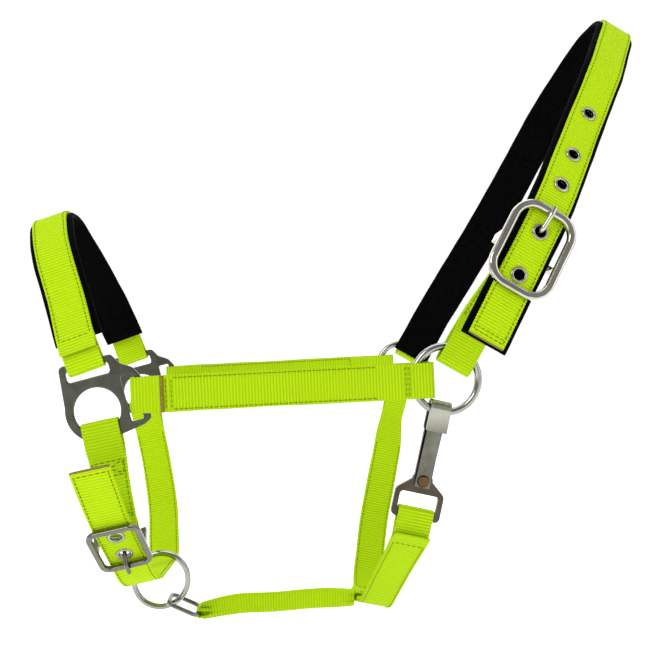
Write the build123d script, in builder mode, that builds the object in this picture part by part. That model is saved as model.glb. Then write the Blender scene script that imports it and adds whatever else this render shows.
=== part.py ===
"""Horse headcollar (halter): crown strap, cheek rings, cheekpieces, halter
squares, padded noseband, adjustable chin strap and clip-on throat strap.

Frame: origin at the poll, on the inner face of the crown lining at the middle
of the head; +X towards the ears' side of the crown, +Y across the head to the
far side, +Z up. Millimetres. The halter is held open in its worn shape.
"""
from build123d import *
from math import sin, cos, tan, radians, hypot, atan2, degrees
import os

os.makedirs("parts", exist_ok=True)

# ---------------------------------------------------------------- dimensions
WEB_W = 25.4          # webbing width (1 inch)
WEB_T = 1.6           # one layer of webbing
STRAP_T = 2.4         # two layers pressed and sewn together
LINING_W = 32.0       # neoprene lining width
LINING_T = 4.0        # neoprene lining thickness
GAP = 0.4             # slack between a webbing loop and the metal it goes round

RING_OD = 50.0        # cheek ring outside diameter
RING_WIRE = 5.0       # cheek ring wire diameter
RING_R = (RING_OD - RING_WIRE) / 2
RING_HALF = 82.0      # cheek ring centre to the middle of the head

CROWN_LEAN = 29.3     # crown arch leans back from vertical, degrees
CROWN_H = 312.0       # ring axis to the poll, along the crown arch

SQ_HOLE_R = 15.5      # halter square, round hole
SQ_RIM_R = 21.0       # halter square, rim round the hole
SQ_T = 3.5            # halter square plate thickness
SQ_TURN = 15.0        # halter square turned up at its back, degrees
SQ_HALF = 76.0        # halter square to the middle of the head
SQ_DX, SQ_DZ = -233.5, -20.3      # hole centre from the ring axis

NOSE_LEAN = 20.0      # noseband arch leans forward
THROAT_LEAN = 12.5    # throat strap hangs forward of vertical
CHIN_LEAN = 12.0      # chin strap hangs back of vertical

CHIN_RING_OD = 45.5
CHIN_RING_WIRE = 4.4
CHIN_RING_R = (CHIN_RING_OD - CHIN_RING_WIRE) / 2

EYE_HOLE = 7.2        # eyelet bore diameter
EYE_OD = 10.6         # eyelet flange diameter

# ------------------------------------------------------------ reference axes
cl, sl = cos(radians(CROWN_LEAN)), sin(radians(CROWN_LEAN))
RX, RZ = -CROWN_H * sl, -CROWN_H * cl          # ring axis, along Y


def arch_plane(ox, oz, ax, az):
    """Plane that holds the Y axis and the direction (ax, 0, az)."""
    return Plane(origin=(ox, 0, oz), x_dir=(0, 1, 0), z_dir=(az, 0, -ax))


def offset_path(pts, radii, d):
    """Polyline and corner radii moved d to the left of its direction."""
    segs = []
    for (x0, y0), (x1, y1) in zip(pts, pts[1:]):
        ln = hypot(x1 - x0, y1 - y0)
        ux, uy = (x1 - x0) / ln, (y1 - y0) / ln
        segs.append((x0 - uy * d, y0 + ux * d, ux, uy, ln))
    out = [(segs[0][0], segs[0][1])]
    rad = []
    for k in range(1, len(segs)):
        x0, y0, ux, uy, _ = segs[k - 1]
        x1, y1, vx, vy, _ = segs[k]
        cr = ux * vy - uy * vx
        t = ((x1 - x0) * vy - (y1 - y0) * vx) / cr
        out.append((x0 + ux * t, y0 + uy * t))
        rad.append(radii[k - 1] - d if cr > 0 else radii[k - 1] + d)
    x0, y0, ux, uy, ln = segs[-1]
    out.append((x0 + ux * ln, y0 + uy * ln))
    return out, rad


def webbing_loop(c, d, half, fold, back, shoulder, tw):
    """Outer and inner outline of webbing folded round a bar at c. d points
    from the strap to the fold; tw is half the strap's thickness behind it."""
    ln = hypot(*d)
    dx, dy = d[0] / ln, d[1] / ln
    nx, ny = -dy, dx
    P = lambda a, b: (c[0] + dx * a + nx * b, c[1] + dy * a + ny * b)
    t = WEB_T / 2
    outer = [P(-back, tw), P(-shoulder, half + t), P(fold + t, half + t),
             P(fold + t, -half - t), P(-shoulder, -half - t), P(-back, -tw)]
    ro = half + t - 0.15
    orad = [0.3, 6, ro, ro, 6, 0.3]
    inner = [P(-back + 5, 0.0), P(-shoulder, half - t), P(fold - t, half - t),
             P(fold - t, -half + t), P(-shoulder, -half + t)]
    ri = half - t - 0.15
    irad = [0.15, 4, ri, ri, 4]
    return outer, orad, inner, irad


def unit(a, b):
    ln = hypot(b[0] - a[0], b[1] - a[1])
    return ((b[0] - a[0]) / ln, (b[1] - a[1]) / ln)


RING_LOOP = RING_WIRE / 2 + GAP + 0.1 + WEB_T / 2        # loop half height
RING_FOLD = RING_R - (15.0 - GAP - WEB_T / 2)            # fold past the wire

# ------------------------------------------------------------- cheek rings
for_y = (-RING_HALF, RING_HALF)
with BuildPart() as near_cheek_ring:
    with BuildSketch(Plane(origin=(RX, -RING_HALF, RZ), x_dir=(1, 0, 0), z_dir=(0, 0, 1))):
        with Locations((RING_R, 0)):
            Circle(RING_WIRE / 2)
    revolve(axis=Axis((RX, -RING_HALF, RZ), (0, 1, 0)))
near_cheek_ring.part.label = "near_cheek_ring"
export_step(near_cheek_ring.part, "parts/near_cheek_ring.step")

with BuildPart() as far_cheek_ring:
    with BuildSketch(Plane(origin=(RX, RING_HALF, RZ), x_dir=(1, 0, 0), z_dir=(0, 0, 1))):
        with Locations((RING_R, 0)):
            Circle(RING_WIRE / 2)
    revolve(axis=Axis((RX, RING_HALF, RZ), (0, 1, 0)))
far_cheek_ring.part.label = "far_cheek_ring"
export_step(far_cheek_ring.part, "parts/far_cheek_ring.step")

# ------------------------------------------------------------ crown assembly
crown_plane = arch_plane(RX, RZ, sl, cl)       # sketch x = across, y = up the arch
CROWN_PTS = [(-124.5, 30), (-108.5, 134), (-77, 206), (-55, 260), (-20, 317.25),
             (28, 317.25), (59, 266), (54, 160), (81, 46)]
CROWN_RAD = [160, 260, 70, 34, 34, 90, 200]
b0, b1 = CROWN_PTS[0], CROWN_PTS[1]
BDIR = unit(b0, b1)                             # strap direction at the buckle
BOUT = (-BDIR[1], BDIR[0])                      # away from the head
BC = (b0[0] + BDIR[0] * 67, b0[1] + BDIR[1] * 67)   # buckle centre on the strap
EYES = [BC[1] - 18.5, BC[1] + 14.0]             # first two eyelets, in s

far_dir = (0.0, -1.0)
far_loop = webbing_loop((RING_HALF, RING_R), far_dir, RING_LOOP, RING_FOLD, 24, 9, STRAP_T / 2)

BUCKLE_BETA = degrees(atan2(BDIR[0], BDIR[1]))
n_crown = (cl, 0.0, -sl)


def crown_point(y, s):
    return Vector(RX + s * sl, y, RZ + s * cl)


def crown_vec(dy, ds):
    return Vector(ds * sl, dy, ds * cl)


buckle_plane = Plane(origin=crown_point(*BC), x_dir=n_crown,
                     z_dir=crown_vec(*BOUT))

# eyelets along the strap's centre line: two in the straight run, three above
eye_planes = []
for k in (-18.5, 14.0, 41.0):
    p = (BC[0] + BDIR[0] * k, BC[1] + BDIR[1] * k)
    if k < 40:
        eye_planes.append(Plane(origin=crown_point(*p), x_dir=n_crown,
                                z_dir=crown_vec(*BOUT)))
up1, up2 = CROWN_PTS[1], CROWN_PTS[2]
D2 = unit(up1, up2)
O2 = (-D2[1], D2[0])
D3 = unit(CROWN_PTS[2], CROWN_PTS[3])
O3 = (-D3[1], D3[0])
for (base, dd, oo, k) in ((up1, D2, O2, 14.5), (up1, D2, O2, 43.5), (CROWN_PTS[2], D3, O3, 6.5)):
    p = (base[0] + dd[0] * k, base[1] + dd[1] * k)
    eye_planes.append(Plane(origin=crown_point(*p), x_dir=n_crown,
                            z_dir=crown_vec(*oo)))

with BuildPart() as crown_strap:
    with BuildSketch(crown_plane):
        with BuildLine():
            FilletPolyline(*CROWN_PTS, radius=CROWN_RAD)
        trace(line_width=STRAP_T)
        with BuildLine():
            FilletPolyline(*far_loop[0], radius=far_loop[1], close=True)
        make_face()
        with BuildLine():
            FilletPolyline(*far_loop[2], radius=far_loop[3], close=True)
        make_face(mode=Mode.SUBTRACT)
    extrude(amount=WEB_W / 2, both=True)
    for pl in eye_planes:
        with BuildSketch(pl):
            Circle(EYE_HOLE / 2 + 0.6)
        extrude(amount=4, both=True, mode=Mode.SUBTRACT)
crown_strap.part.label = "crown_strap"
export_step(crown_strap.part, "parts/crown_strap.step")

pad_pts, pad_rad = offset_path(CROWN_PTS, CROWN_RAD, -(STRAP_T / 2 + LINING_T / 2 + 0.05))
# the far end carries on past the ring's loop, on the head's side of it
pad_in = RING_HALF - RING_LOOP - WEB_T / 2 - LINING_T / 2 - 0.5
pad_pts = pad_pts[:-1] + [(pad_pts[-1][0] - 2.2, pad_pts[-1][1] + 8.0), (pad_in, RING_R + 12.0), (pad_in, 12.0)]
pad_rad = pad_rad + [40, 20]
with BuildPart() as crown_padding:
    with BuildSketch(crown_plane):
        with BuildLine():
            FilletPolyline(*pad_pts, radius=pad_rad)
        trace(line_width=LINING_T)
    extrude(amount=LINING_W / 2, both=True)
    with BuildSketch(buckle_plane):                  # slot that the tongue uses
        with Locations((0, 12.6)):
            SlotOverall(11.5, EYE_HOLE + 0.4, rotation=90)
    extrude(amount=-9, mode=Mode.SUBTRACT)
crown_padding.part.label = "crown_padding"
export_step(crown_padding.part, "parts/crown_padding.step")

with BuildPart() as crown_eyelets:
    for pl in eye_planes:
        with BuildSketch(pl.offset(STRAP_T / 2 + 0.25)):
            Circle(EYE_OD / 2)
        extrude(amount=0.7)
        with BuildSketch(pl.offset(-STRAP_T / 2)):
            Circle(EYE_HOLE / 2 + 0.5)
        extrude(amount=STRAP_T + 0.6)
        with BuildSketch(pl.offset(-STRAP_T)):
            Circle(EYE_HOLE / 2)
        extrude(amount=2 * STRAP_T + 2, mode=Mode.SUBTRACT)
crown_eyelets.part.label = "crown_eyelets"
export_step(crown_eyelets.part, "parts/crown_eyelets.step")

# frame: outer bars in front of the strap, centre bar behind the lining
FR_W, FR_H, FR_BAR, FR_T, FR_R = 46.0, 63.0, 5.4, 3.4, 16.0
FR_BASE = STRAP_T / 2 + 1.25
BAR_R = 2.0
BAR_DEPTH = STRAP_T / 2 + 0.05 + LINING_T + 0.3 + WEB_T + 0.3 + BAR_R
with BuildPart() as crown_buckle_frame:
    with BuildSketch(buckle_plane.offset(FR_BASE)):
        RectangleRounded(FR_W, FR_H, FR_R)
        RectangleRounded(FR_W - 2 * FR_BAR, FR_H - 2 * FR_BAR, FR_R - FR_BAR, mode=Mode.SUBTRACT)
    extrude(amount=FR_T)
    top = crown_buckle_frame.faces().sort_by(Axis(buckle_plane.origin, buckle_plane.z_dir))[-1]
    fillet(top.edges(), radius=1.7)
    with BuildSketch(buckle_plane.offset(-BAR_DEPTH - BAR_R)):
        with Locations((-(FR_W / 2 - FR_BAR / 2), 0), (FR_W / 2 - FR_BAR / 2, 0)):
            Rectangle(FR_BAR - 1.0, 6.0)
    extrude(amount=BAR_DEPTH + BAR_R + FR_BASE + 0.5)
    with BuildSketch(Plane(origin=buckle_plane.from_local_coords((-(FR_W / 2 - 1.2), 0, -BAR_DEPTH)),
                           x_dir=crown_vec(*BDIR), z_dir=n_crown)):
        Circle(BAR_R)
    extrude(amount=FR_W - 2.4)
crown_buckle_frame.part.label = "crown_buckle_frame"
export_step(crown_buckle_frame.part, "parts/crown_buckle_frame.step")

CB = (BC[0] - BOUT[0] * BAR_DEPTH, BC[1] - BOUT[1] * BAR_DEPTH)   # centre bar, (y, s)

# tongue: eye on the centre bar, under the lining, up through the eyelet, on the top bar
TON_R = 1.6
ton_plane = Plane(origin=buckle_plane.origin, x_dir=crown_vec(*BDIR),
                  z_dir=(-n_crown[0], 0, -n_crown[2]))
tz = 1.0 if ton_plane.y_dir.dot(buckle_plane.z_dir) > 0 else -1.0
TON_PTS = [(1.0, -BAR_DEPTH - 0.4), (10.0, -BAR_DEPTH + 0.6), (15.2, FR_BASE + 1.4),
           (25.0, FR_BASE + FR_T + 0.3 + TON_R), (30.5, FR_BASE + FR_T + 0.3 + TON_R)]
with BuildPart() as crown_buckle_tongue:
    with BuildLine(ton_plane) as ton_path:
        FilletPolyline(*[(a, tz * b) for a, b in TON_PTS], radius=[2.4, 3.0, 6.0])
    with BuildSketch(Plane(origin=ton_path.line @ 0, z_dir=ton_path.line % 0)):
        Circle(TON_R)
    sweep()
    with BuildSketch(ton_plane):
        with Locations((0, -tz * BAR_DEPTH)):
            Circle(BAR_R + 0.06 + 1.5)
    extrude(amount=2.2, both=True)
    with BuildSketch(ton_plane):
        with Locations((0, -tz * BAR_DEPTH)):
            Circle(BAR_R + 0.06)
    extrude(amount=4, both=True, mode=Mode.SUBTRACT)
crown_buckle_tongue.part.label = "crown_buckle_tongue"
export_step(crown_buckle_tongue.part, "parts/crown_buckle_tongue.step")

# short strap from the near ring up to the buckle's centre bar
BS_LO = (-83.5, 46.0)
bs_dir = unit(BS_LO, CB)
BS_HI = (CB[0] - bs_dir[0] * 12, CB[1] - bs_dir[1] * 12)
bar_loop = webbing_loop(CB, bs_dir, BAR_R + 0.35 + WEB_T / 2, BAR_R + 0.35 + WEB_T / 2,
                        15, 3.0, WEB_T)
near_loop = webbing_loop((-RING_HALF, RING_R), (0.0, -1.0), RING_LOOP, RING_FOLD, 24, 9, WEB_T)
with BuildPart() as crown_buckle_strap:
    with BuildSketch(crown_plane):
        with BuildLine():
            FilletPolyline((-82.0, 44.5), (-83.0, 50.0), BS_HI, radius=[10])
        trace(line_width=2 * WEB_T)
        with BuildLine():
            FilletPolyline(*near_loop[0], radius=near_loop[1], close=True)
        make_face()
        with BuildLine():
            FilletPolyline(*near_loop[2], radius=near_loop[3], close=True)
        make_face(mode=Mode.SUBTRACT)
        with BuildLine():
            FilletPolyline(*bar_loop[0], radius=bar_loop[1][:1] + [2] + bar_loop[1][2:4] + [2, 0.3], close=True)
        make_face()
        with BuildLine():
            FilletPolyline(*bar_loop[2], radius=[0.15, 1.5, bar_loop[3][2], bar_loop[3][3], 1.5], close=True)
        make_face(mode=Mode.SUBTRACT)
    extrude(amount=WEB_W / 2, both=True)
    with BuildSketch(buckle_plane.offset(-BAR_DEPTH - 6)):           # notch for the tongue
        with Locations((0, 3)):
            Rectangle(7.2, 22)
    extrude(amount=14, mode=Mode.SUBTRACT)
crown_buckle_strap.part.label = "crown_buckle_strap"
export_step(crown_buckle_strap.part, "parts/crown_buckle_strap.step")
print("crown done", BC, CB, BUCKLE_BETA)

# ------------------------------------------------------------ halter squares
HX, HZ = RX + SQ_DX, RZ + SQ_DZ                 # hole centre
ct, st = cos(radians(SQ_TURN)), sin(radians(SQ_TURN))


def sq_plane(y):
    """Plane of the plate: x along the plate to the back, y up the plate."""
    return Plane(origin=(HX, y, HZ), x_dir=(ct, 0, st), z_dir=(0, -1, 0))


def sq_point(u, v):
    return (HX + u * ct - v * st, HZ + u * st + v * ct)


SQ_OUT = [(-17.5, 34.3), (17.6, 34.3), (21.6, 27.2), (29.5, 22.0), (33.0, 15.5),
          (33.0, -14.2), (27.5, -16.8), (10.0, -19.6), (-6.0, -20.0), (-16.2, -12.4), (-20.6, 0)]
SQ_RAD = [3.5, 3.5, 4, 5, 5, 3, 2.6, 14, 8, 8, 10]
TOP_SLOT = (0.3, 26.2, 29.0, 7.6)               # centre u, v, width, height
SIDE_SLOT = (24.1, 2.5, 8.6, 31.0)

with BuildPart() as near_square:
    with BuildSketch(sq_plane(-SQ_HALF + SQ_T / 2)):
        with BuildLine():
            FilletPolyline(*SQ_OUT, radius=SQ_RAD, close=True)
        make_face()
        Circle(SQ_RIM_R)
        Circle(SQ_HOLE_R, mode=Mode.SUBTRACT)
        with Locations(TOP_SLOT[:2]):
            RectangleRounded(TOP_SLOT[2], TOP_SLOT[3], 2.2, mode=Mode.SUBTRACT)
        with Locations(SIDE_SLOT[:2]):
            RectangleRounded(SIDE_SLOT[2], SIDE_SLOT[3], 1.4, mode=Mode.SUBTRACT)
    extrude(amount=SQ_T)
    plate_faces = near_square.faces().sort_by(Axis.Y)
    fillet(plate_faces[0].edges() + plate_faces[-1].edges(), radius=1.0)
near_square.part.label = "near_square"
export_step(near_square.part, "parts/near_square.step")

with BuildPart() as far_square:
    with BuildSketch(sq_plane(SQ_HALF + SQ_T / 2)):
        with BuildLine():
            FilletPolyline(*SQ_OUT, radius=SQ_RAD, close=True)
        make_face()
        Circle(SQ_RIM_R)
        Circle(SQ_HOLE_R, mode=Mode.SUBTRACT)
        with Locations(TOP_SLOT[:2]):
            RectangleRounded(TOP_SLOT[2], TOP_SLOT[3], 2.2, mode=Mode.SUBTRACT)
        with Locations(SIDE_SLOT[:2]):
            RectangleRounded(SIDE_SLOT[2], SIDE_SLOT[3], 1.4, mode=Mode.SUBTRACT)
    extrude(amount=SQ_T)
    plate_faces = far_square.faces().sort_by(Axis.Y)
    fillet(plate_faces[0].edges() + plate_faces[-1].edges(), radius=1.0)
far_square.part.label = "far_square"
export_step(far_square.part, "parts/far_square.step")

SQ_LOOP = SQ_T / 2 + GAP + WEB_T / 2            # loop half height on the plate

# ------------------------------------------------------------ noseband
bx, bz = sq_point(0.3, 32.15)                   # middle of the top bar
cn, sn = cos(radians(NOSE_LEAN)), sin(radians(NOSE_LEAN))
nose_plane = arch_plane(bx, bz, -sn, cn)
NOSE_PTS = [(-SQ_HALF, 22), (-65, 48), (-57, 84), (-31, 113), (-4, 113),
            (32, 82), (62, 50), (SQ_HALF, 22)]
NOSE_RAD = [60, 60, 24, 26, 100, 60]
nl = webbing_loop((-SQ_HALF, 0), (0, -1), SQ_LOOP, 5.0, 24, 7, STRAP_T / 2)
fl = webbing_loop((SQ_HALF, 0), (0, -1), SQ_LOOP, 5.0, 24, 7, STRAP_T / 2)
with BuildPart() as noseband_webbing:
    with BuildSketch(nose_plane):
        with BuildLine():
            FilletPolyline(*NOSE_PTS, radius=NOSE_RAD)
        trace(line_width=STRAP_T)
        for lp in (nl, fl):
            with BuildLine():
                FilletPolyline(*lp[0], radius=lp[1], close=True)
            make_face()
            with BuildLine():
                FilletPolyline(*lp[2], radius=lp[3], close=True)
            make_face(mode=Mode.SUBTRACT)
    extrude(amount=WEB_W / 2, both=True)
noseband_webbing.part.label = "noseband_webbing"
export_step(noseband_webbing.part, "parts/noseband_webbing.step")

pad_line = list(NOSE_PTS)                        # the lining stops short of the squares
n0 = unit(NOSE_PTS[0], NOSE_PTS[1])
n1 = unit(NOSE_PTS[-1], NOSE_PTS[-2])
pad_line[0] = (NOSE_PTS[0][0] - n0[0] * 6.0, NOSE_PTS[0][1] - n0[1] * 6.0)
pad_line[-1] = (NOSE_PTS[-1][0] - n1[0] * 6.0, NOSE_PTS[-1][1] - n1[1] * 6.0)
np_pts, np_rad = offset_path(pad_line, NOSE_RAD, -(STRAP_T / 2 + LINING_T / 2 + 0.05))
np_pts[0] = (-SQ_HALF + 5.0, 16.5)              # clear of the loops round the squares
np_pts[-1] = (SQ_HALF - 5.0, 16.5)
with BuildPart() as noseband_padding:
    with BuildSketch(nose_plane):
        with BuildLine():
            FilletPolyline(*np_pts, radius=np_rad)
        trace(line_width=LINING_T)
    extrude(amount=LINING_W / 2, both=True)
noseband_padding.part.label = "noseband_padding"
export_step(noseband_padding.part, "parts/noseband_padding.step")

# ------------------------------------------------------------ cheekpieces
sx, sz = sq_point(30.7, 2.5)                    # middle of the side bar
CH_L = hypot(hypot(RX - sx, RZ - sz), RING_HALF - SQ_HALF)
ch_bar = webbing_loop((0, 0), (-1, 0), SQ_LOOP, 6.7, 24, 8, WEB_T)
CH_DY = RING_R * (RING_HALF - SQ_HALF) / CH_L      # the wire stands this far out of the strap's line
ch_ring = webbing_loop((CH_L - RING_R, CH_DY), (1, 0), RING_LOOP, RING_FOLD, 24, 9, WEB_T)


def cheek_plane(side):
    e = Vector(RX - sx, side * (RING_HALF - SQ_HALF), RZ - sz).normalized()
    o = Vector(0, side, 0)
    o = (o - e * o.dot(e)).normalized()
    return Plane(origin=(sx, side * SQ_HALF, sz), x_dir=e, z_dir=e.cross(o))


with BuildPart() as near_cheekpiece:
    with BuildSketch(cheek_plane(-1)):
        with BuildLine():
            Line((22, 0), (CH_L - RING_R - 22, CH_DY))
        trace(line_width=2 * WEB_T)
        for lp in (ch_bar, ch_ring):
            with BuildLine():
                FilletPolyline(*lp[0], radius=lp[1], close=True)
            make_face()
            with BuildLine():
                FilletPolyline(*lp[2], radius=lp[3], close=True)
            make_face(mode=Mode.SUBTRACT)
    extrude(amount=WEB_W / 2, both=True)
near_cheekpiece.part.label = "near_cheekpiece"
export_step(near_cheekpiece.part, "parts/near_cheekpiece.step")

with BuildPart() as far_cheekpiece:
    with BuildSketch(cheek_plane(1)):
        with BuildLine():
            Line((22, 0), (CH_L - RING_R - 22, CH_DY))
        trace(line_width=2 * WEB_T)
        for lp in (ch_bar, ch_ring):
            with BuildLine():
                FilletPolyline(*lp[0], radius=lp[1], close=True)
            make_face()
            with BuildLine():
                FilletPolyline(*lp[2], radius=lp[3], close=True)
            make_face(mode=Mode.SUBTRACT)
    extrude(amount=WEB_W / 2, both=True)
far_cheekpiece.part.label = "far_cheekpiece"
export_step(far_cheekpiece.part, "parts/far_cheekpiece.step")

# ------------------------------------------------------------ throat strap and snap
th_plane = arch_plane(RX, RZ, -sin(radians(THROAT_LEAN)), -cos(radians(THROAT_LEAN)))
tax, taz = -sin(radians(THROAT_LEAN)), -cos(radians(THROAT_LEAN))
SNAP_T = 3.0
SNAP_Y = -RING_HALF + RING_WIRE / 2 + 0.5 + SNAP_T / 2      # snap's back plate
TAB_Y = -RING_HALF - RING_WIRE / 2 - 0.5 - SNAP_T / 2       # hook's tab
HOOK_Q = 16.4                                   # hook top, from the ring axis
EYE_Q = (80.0, 92.5, 97.5)                      # snap eye: window top, bar top, end


def snap_front(y):
    """Plane facing outwards at y: x across the snap, y down the strap."""
    return Plane(origin=(RX, y, RZ), x_dir=(-taz, 0, tax), z_dir=(0, -1, 0))


sf = snap_front(0)
ydn = 1.0 if sf.y_dir.dot(Vector(tax, 0, taz)) > 0 else -1.0
with BuildPart() as snap_body:
    with BuildSketch(th_plane):
        with BuildLine():
            FilletPolyline((TAB_Y, 36), (TAB_Y, HOOK_Q), (SNAP_Y, HOOK_Q), (SNAP_Y, 82), radius=[4.3, 4.3])
        trace(line_width=SNAP_T)
    extrude(amount=7.0, both=True)
    with BuildSketch(snap_front(SNAP_Y + 9)):               # waist either side
        with Locations((9.6, ydn * 52), (-9.6, ydn * 52)):
            RectangleRounded(7.0, 36.0, 3.0)
    extrude(amount=18, mode=Mode.SUBTRACT)
    with BuildSketch(snap_front(SNAP_Y + SNAP_T / 2)):      # eye for the webbing
        with BuildLine():
            FilletPolyline((-6, ydn * 70), (-17, ydn * 79), (-17, ydn * 97.5), (17, ydn * 97.5),
                           (17, ydn * 79), (6, ydn * 70), radius=[2, 5, 3.5, 3.5, 5, 2], close=True)
        make_face()
    extrude(amount=SNAP_T)
    with BuildSketch(snap_front(SNAP_Y + 9)):
        with Locations((0, ydn * (EYE_Q[0] + EYE_Q[1]) / 2)):
            RectangleRounded(27.0, EYE_Q[1] - EYE_Q[0], 2.5)
    extrude(amount=18, mode=Mode.SUBTRACT)
    with BuildSketch(snap_front(SNAP_Y + 9)):
        with Locations((0, ydn * 71)):
            Circle(2.05)
    extrude(amount=18, mode=Mode.SUBTRACT)
snap_body.part.label = "snap_body"
export_step(snap_body.part, "parts/snap_body.step")

LEAF_PIV = (SNAP_Y - SNAP_T / 2 - 0.85, 75.5)   # leaf spring's fixed end
with BuildPart() as snap_leaf:
    with BuildSketch(th_plane):
        with BuildLine():
            Line(LEAF_PIV, (TAB_Y + SNAP_T / 2 + 0.85, 31.0))
        trace(line_width=1.1)
    extrude(amount=5.2, both=True)
    with BuildSketch(snap_front(SNAP_Y + 9)):
        with Locations((0, ydn * 71)):
            Circle(2.6)
    extrude(amount=18, mode=Mode.SUBTRACT)
snap_leaf.part.label = "snap_leaf"
export_step(snap_leaf.part, "parts/snap_leaf.step")

with BuildPart() as snap_rivet:
    with BuildSketch(snap_front(SNAP_Y + SNAP_T / 2)):
        with Locations((0, ydn * 71)):
            Circle(2.0)
    extrude(amount=SNAP_T + 2.9)
    with BuildSketch(snap_front(SNAP_Y + SNAP_T / 2 + 1.0)):
        with Locations((0, ydn * 71)):
            Circle(3.6)
    extrude(amount=0.98)
    with BuildSketch(snap_front(SNAP_Y - SNAP_T / 2 - 2.3)):
        with Locations((0, ydn * 71)):
            Circle(4.2)
    extrude(amount=1.6, taper=25)
snap_rivet.part.label = "snap_rivet"
export_step(snap_rivet.part, "parts/snap_rivet.step")

THR_PTS = [(SNAP_Y, 112), (-50, 143), (-14, 184.5), (32, 183), (62, 136), (70, 76), (RING_HALF - 1, 46)]
THR_RAD = [60, 34, 34, 60, 60]
eye_loop = webbing_loop((SNAP_Y, 95.0), (0, -1), SNAP_T / 2 + GAP + WEB_T / 2, 4.6, 19, 6, WEB_T)
FAR_FOLD = RING_R - (16.6 - GAP - WEB_T / 2)
thr_loop = webbing_loop((RING_HALF, RING_R), (0, -1), RING_LOOP, FAR_FOLD, 25, 10, WEB_T)
with BuildPart() as throat_strap:
    with BuildSketch(th_plane):
        with BuildLine():
            FilletPolyline(*THR_PTS, radius=THR_RAD)
        trace(line_width=2 * WEB_T)
        for lp in (eye_loop, thr_loop):
            with BuildLine():
                FilletPolyline(*lp[0], radius=lp[1], close=True)
            make_face()
            with BuildLine():
                FilletPolyline(*lp[2], radius=lp[3], close=True)
            make_face(mode=Mode.SUBTRACT)
    extrude(amount=WEB_W / 2, both=True)
    with BuildSketch(snap_front(RING_HALF + 12)):           # gathered where it meets the ring
        with BuildLine():
            Polyline((-14, 0), (-9.2, 0), (-9.2, ydn * 24), (-14, ydn * 42), close=True)
        make_face()
        with BuildLine():
            Polyline((14, 0), (9.2, 0), (9.2, ydn * 24), (14, ydn * 42), close=True)
        make_face()
    extrude(amount=24, mode=Mode.SUBTRACT)
throat_strap.part.label = "throat_strap"
export_step(throat_strap.part, "parts/throat_strap.step")

# ------------------------------------------------------------ chin assembly
ca, sa = cos(radians(CHIN_LEAN)), sin(radians(CHIN_LEAN))
chin_plane = arch_plane(HX, HZ, sa, -ca)
n_chin = (ca, 0.0, sa)


def chin_point(y, q):
    return Vector(HX + q * sa, y, HZ - q * ca)


def chin_vec(dy, dq):
    return Vector(dq * sa, dy, -dq * ca)


RIM_C = (SQ_HOLE_R + SQ_RIM_R) / 2              # rim, down from the hole centre
rim_back = 16.5
RIM_FOLD = RIM_C - 7.3
cn_loop = webbing_loop((-SQ_HALF, RIM_C), (0, -1), SQ_LOOP, RIM_FOLD, rim_back, 6.5, WEB_T)
cf_loop = webbing_loop((SQ_HALF, RIM_C), (0, -1), SQ_LOOP, RIM_FOLD, rim_back, 6.5, STRAP_T / 2)

CHIN_PTS = [(-120.5, 31), (-104.6, 65.6), (-60.35, 124.6), (26, 134.6), (68, 98), (76, 56), (SQ_HALF, 32)]
CHIN_RAD = [60, 40, 28, 60, 60]
CDIR = unit(CHIN_PTS[1], CHIN_PTS[2])
COUT = (-CDIR[1], CDIR[0])                      # away from the head
CBC = (CHIN_PTS[1][0] + CDIR[0] * 26.0, CHIN_PTS[1][1] + CDIR[1] * 26.0)
chin_buckle_plane = Plane(origin=chin_point(*CBC), x_dir=n_chin, z_dir=chin_vec(*COUT))
cy = 1.0 if chin_buckle_plane.y_dir.dot(chin_vec(*CDIR)) > 0 else -1.0
chin_eyes = [-8.5, 9.8]                        # eyelets inside the frame, along the strap
E1 = unit(CHIN_PTS[3], CHIN_PTS[4])
chin_eye_planes = [Plane(origin=chin_point(CBC[0] + CDIR[0] * k, CBC[1] + CDIR[1] * k),
                         x_dir=n_chin, z_dir=chin_vec(*COUT)) for k in chin_eyes]
with BuildPart() as chin_strap:
    with BuildSketch(chin_plane):
        with BuildLine():
            FilletPolyline(*CHIN_PTS, radius=CHIN_RAD)
        trace(line_width=STRAP_T)
        with BuildLine():
            FilletPolyline(*cf_loop[0], radius=cf_loop[1], close=True)
        make_face()
        with BuildLine():
            FilletPolyline(*cf_loop[2], radius=cf_loop[3], close=True)
        make_face(mode=Mode.SUBTRACT)
    extrude(amount=WEB_W / 2, both=True)
    for pl in chin_eye_planes:
        with BuildSketch(pl):
            Circle(EYE_HOLE / 2 + 0.6)
        extrude(amount=4, both=True, mode=Mode.SUBTRACT)
chin_strap.part.label = "chin_strap"
export_step(chin_strap.part, "parts/chin_strap.step")

with BuildPart() as chin_strap_eyelets:
    for pl in chin_eye_planes:
        with BuildSketch(pl.offset(STRAP_T / 2 + 0.02)):
            Circle(EYE_OD / 2)
        extrude(amount=0.6)
        with BuildSketch(pl.offset(-STRAP_T / 2 - 0.62)):
            Circle(EYE_OD / 2)
        extrude(amount=0.6)
        with BuildSketch(pl.offset(-STRAP_T / 2 - 0.1)):
            Circle(EYE_HOLE / 2 + 0.5)
        extrude(amount=STRAP_T + 0.2)
        with BuildSketch(pl.offset(-STRAP_T)):
            Circle(EYE_HOLE / 2)
        extrude(amount=2 * STRAP_T + 2, mode=Mode.SUBTRACT)
chin_strap_eyelets.part.label = "chin_strap_eyelets"
export_step(chin_strap_eyelets.part, "parts/chin_strap_eyelets.step")

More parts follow.
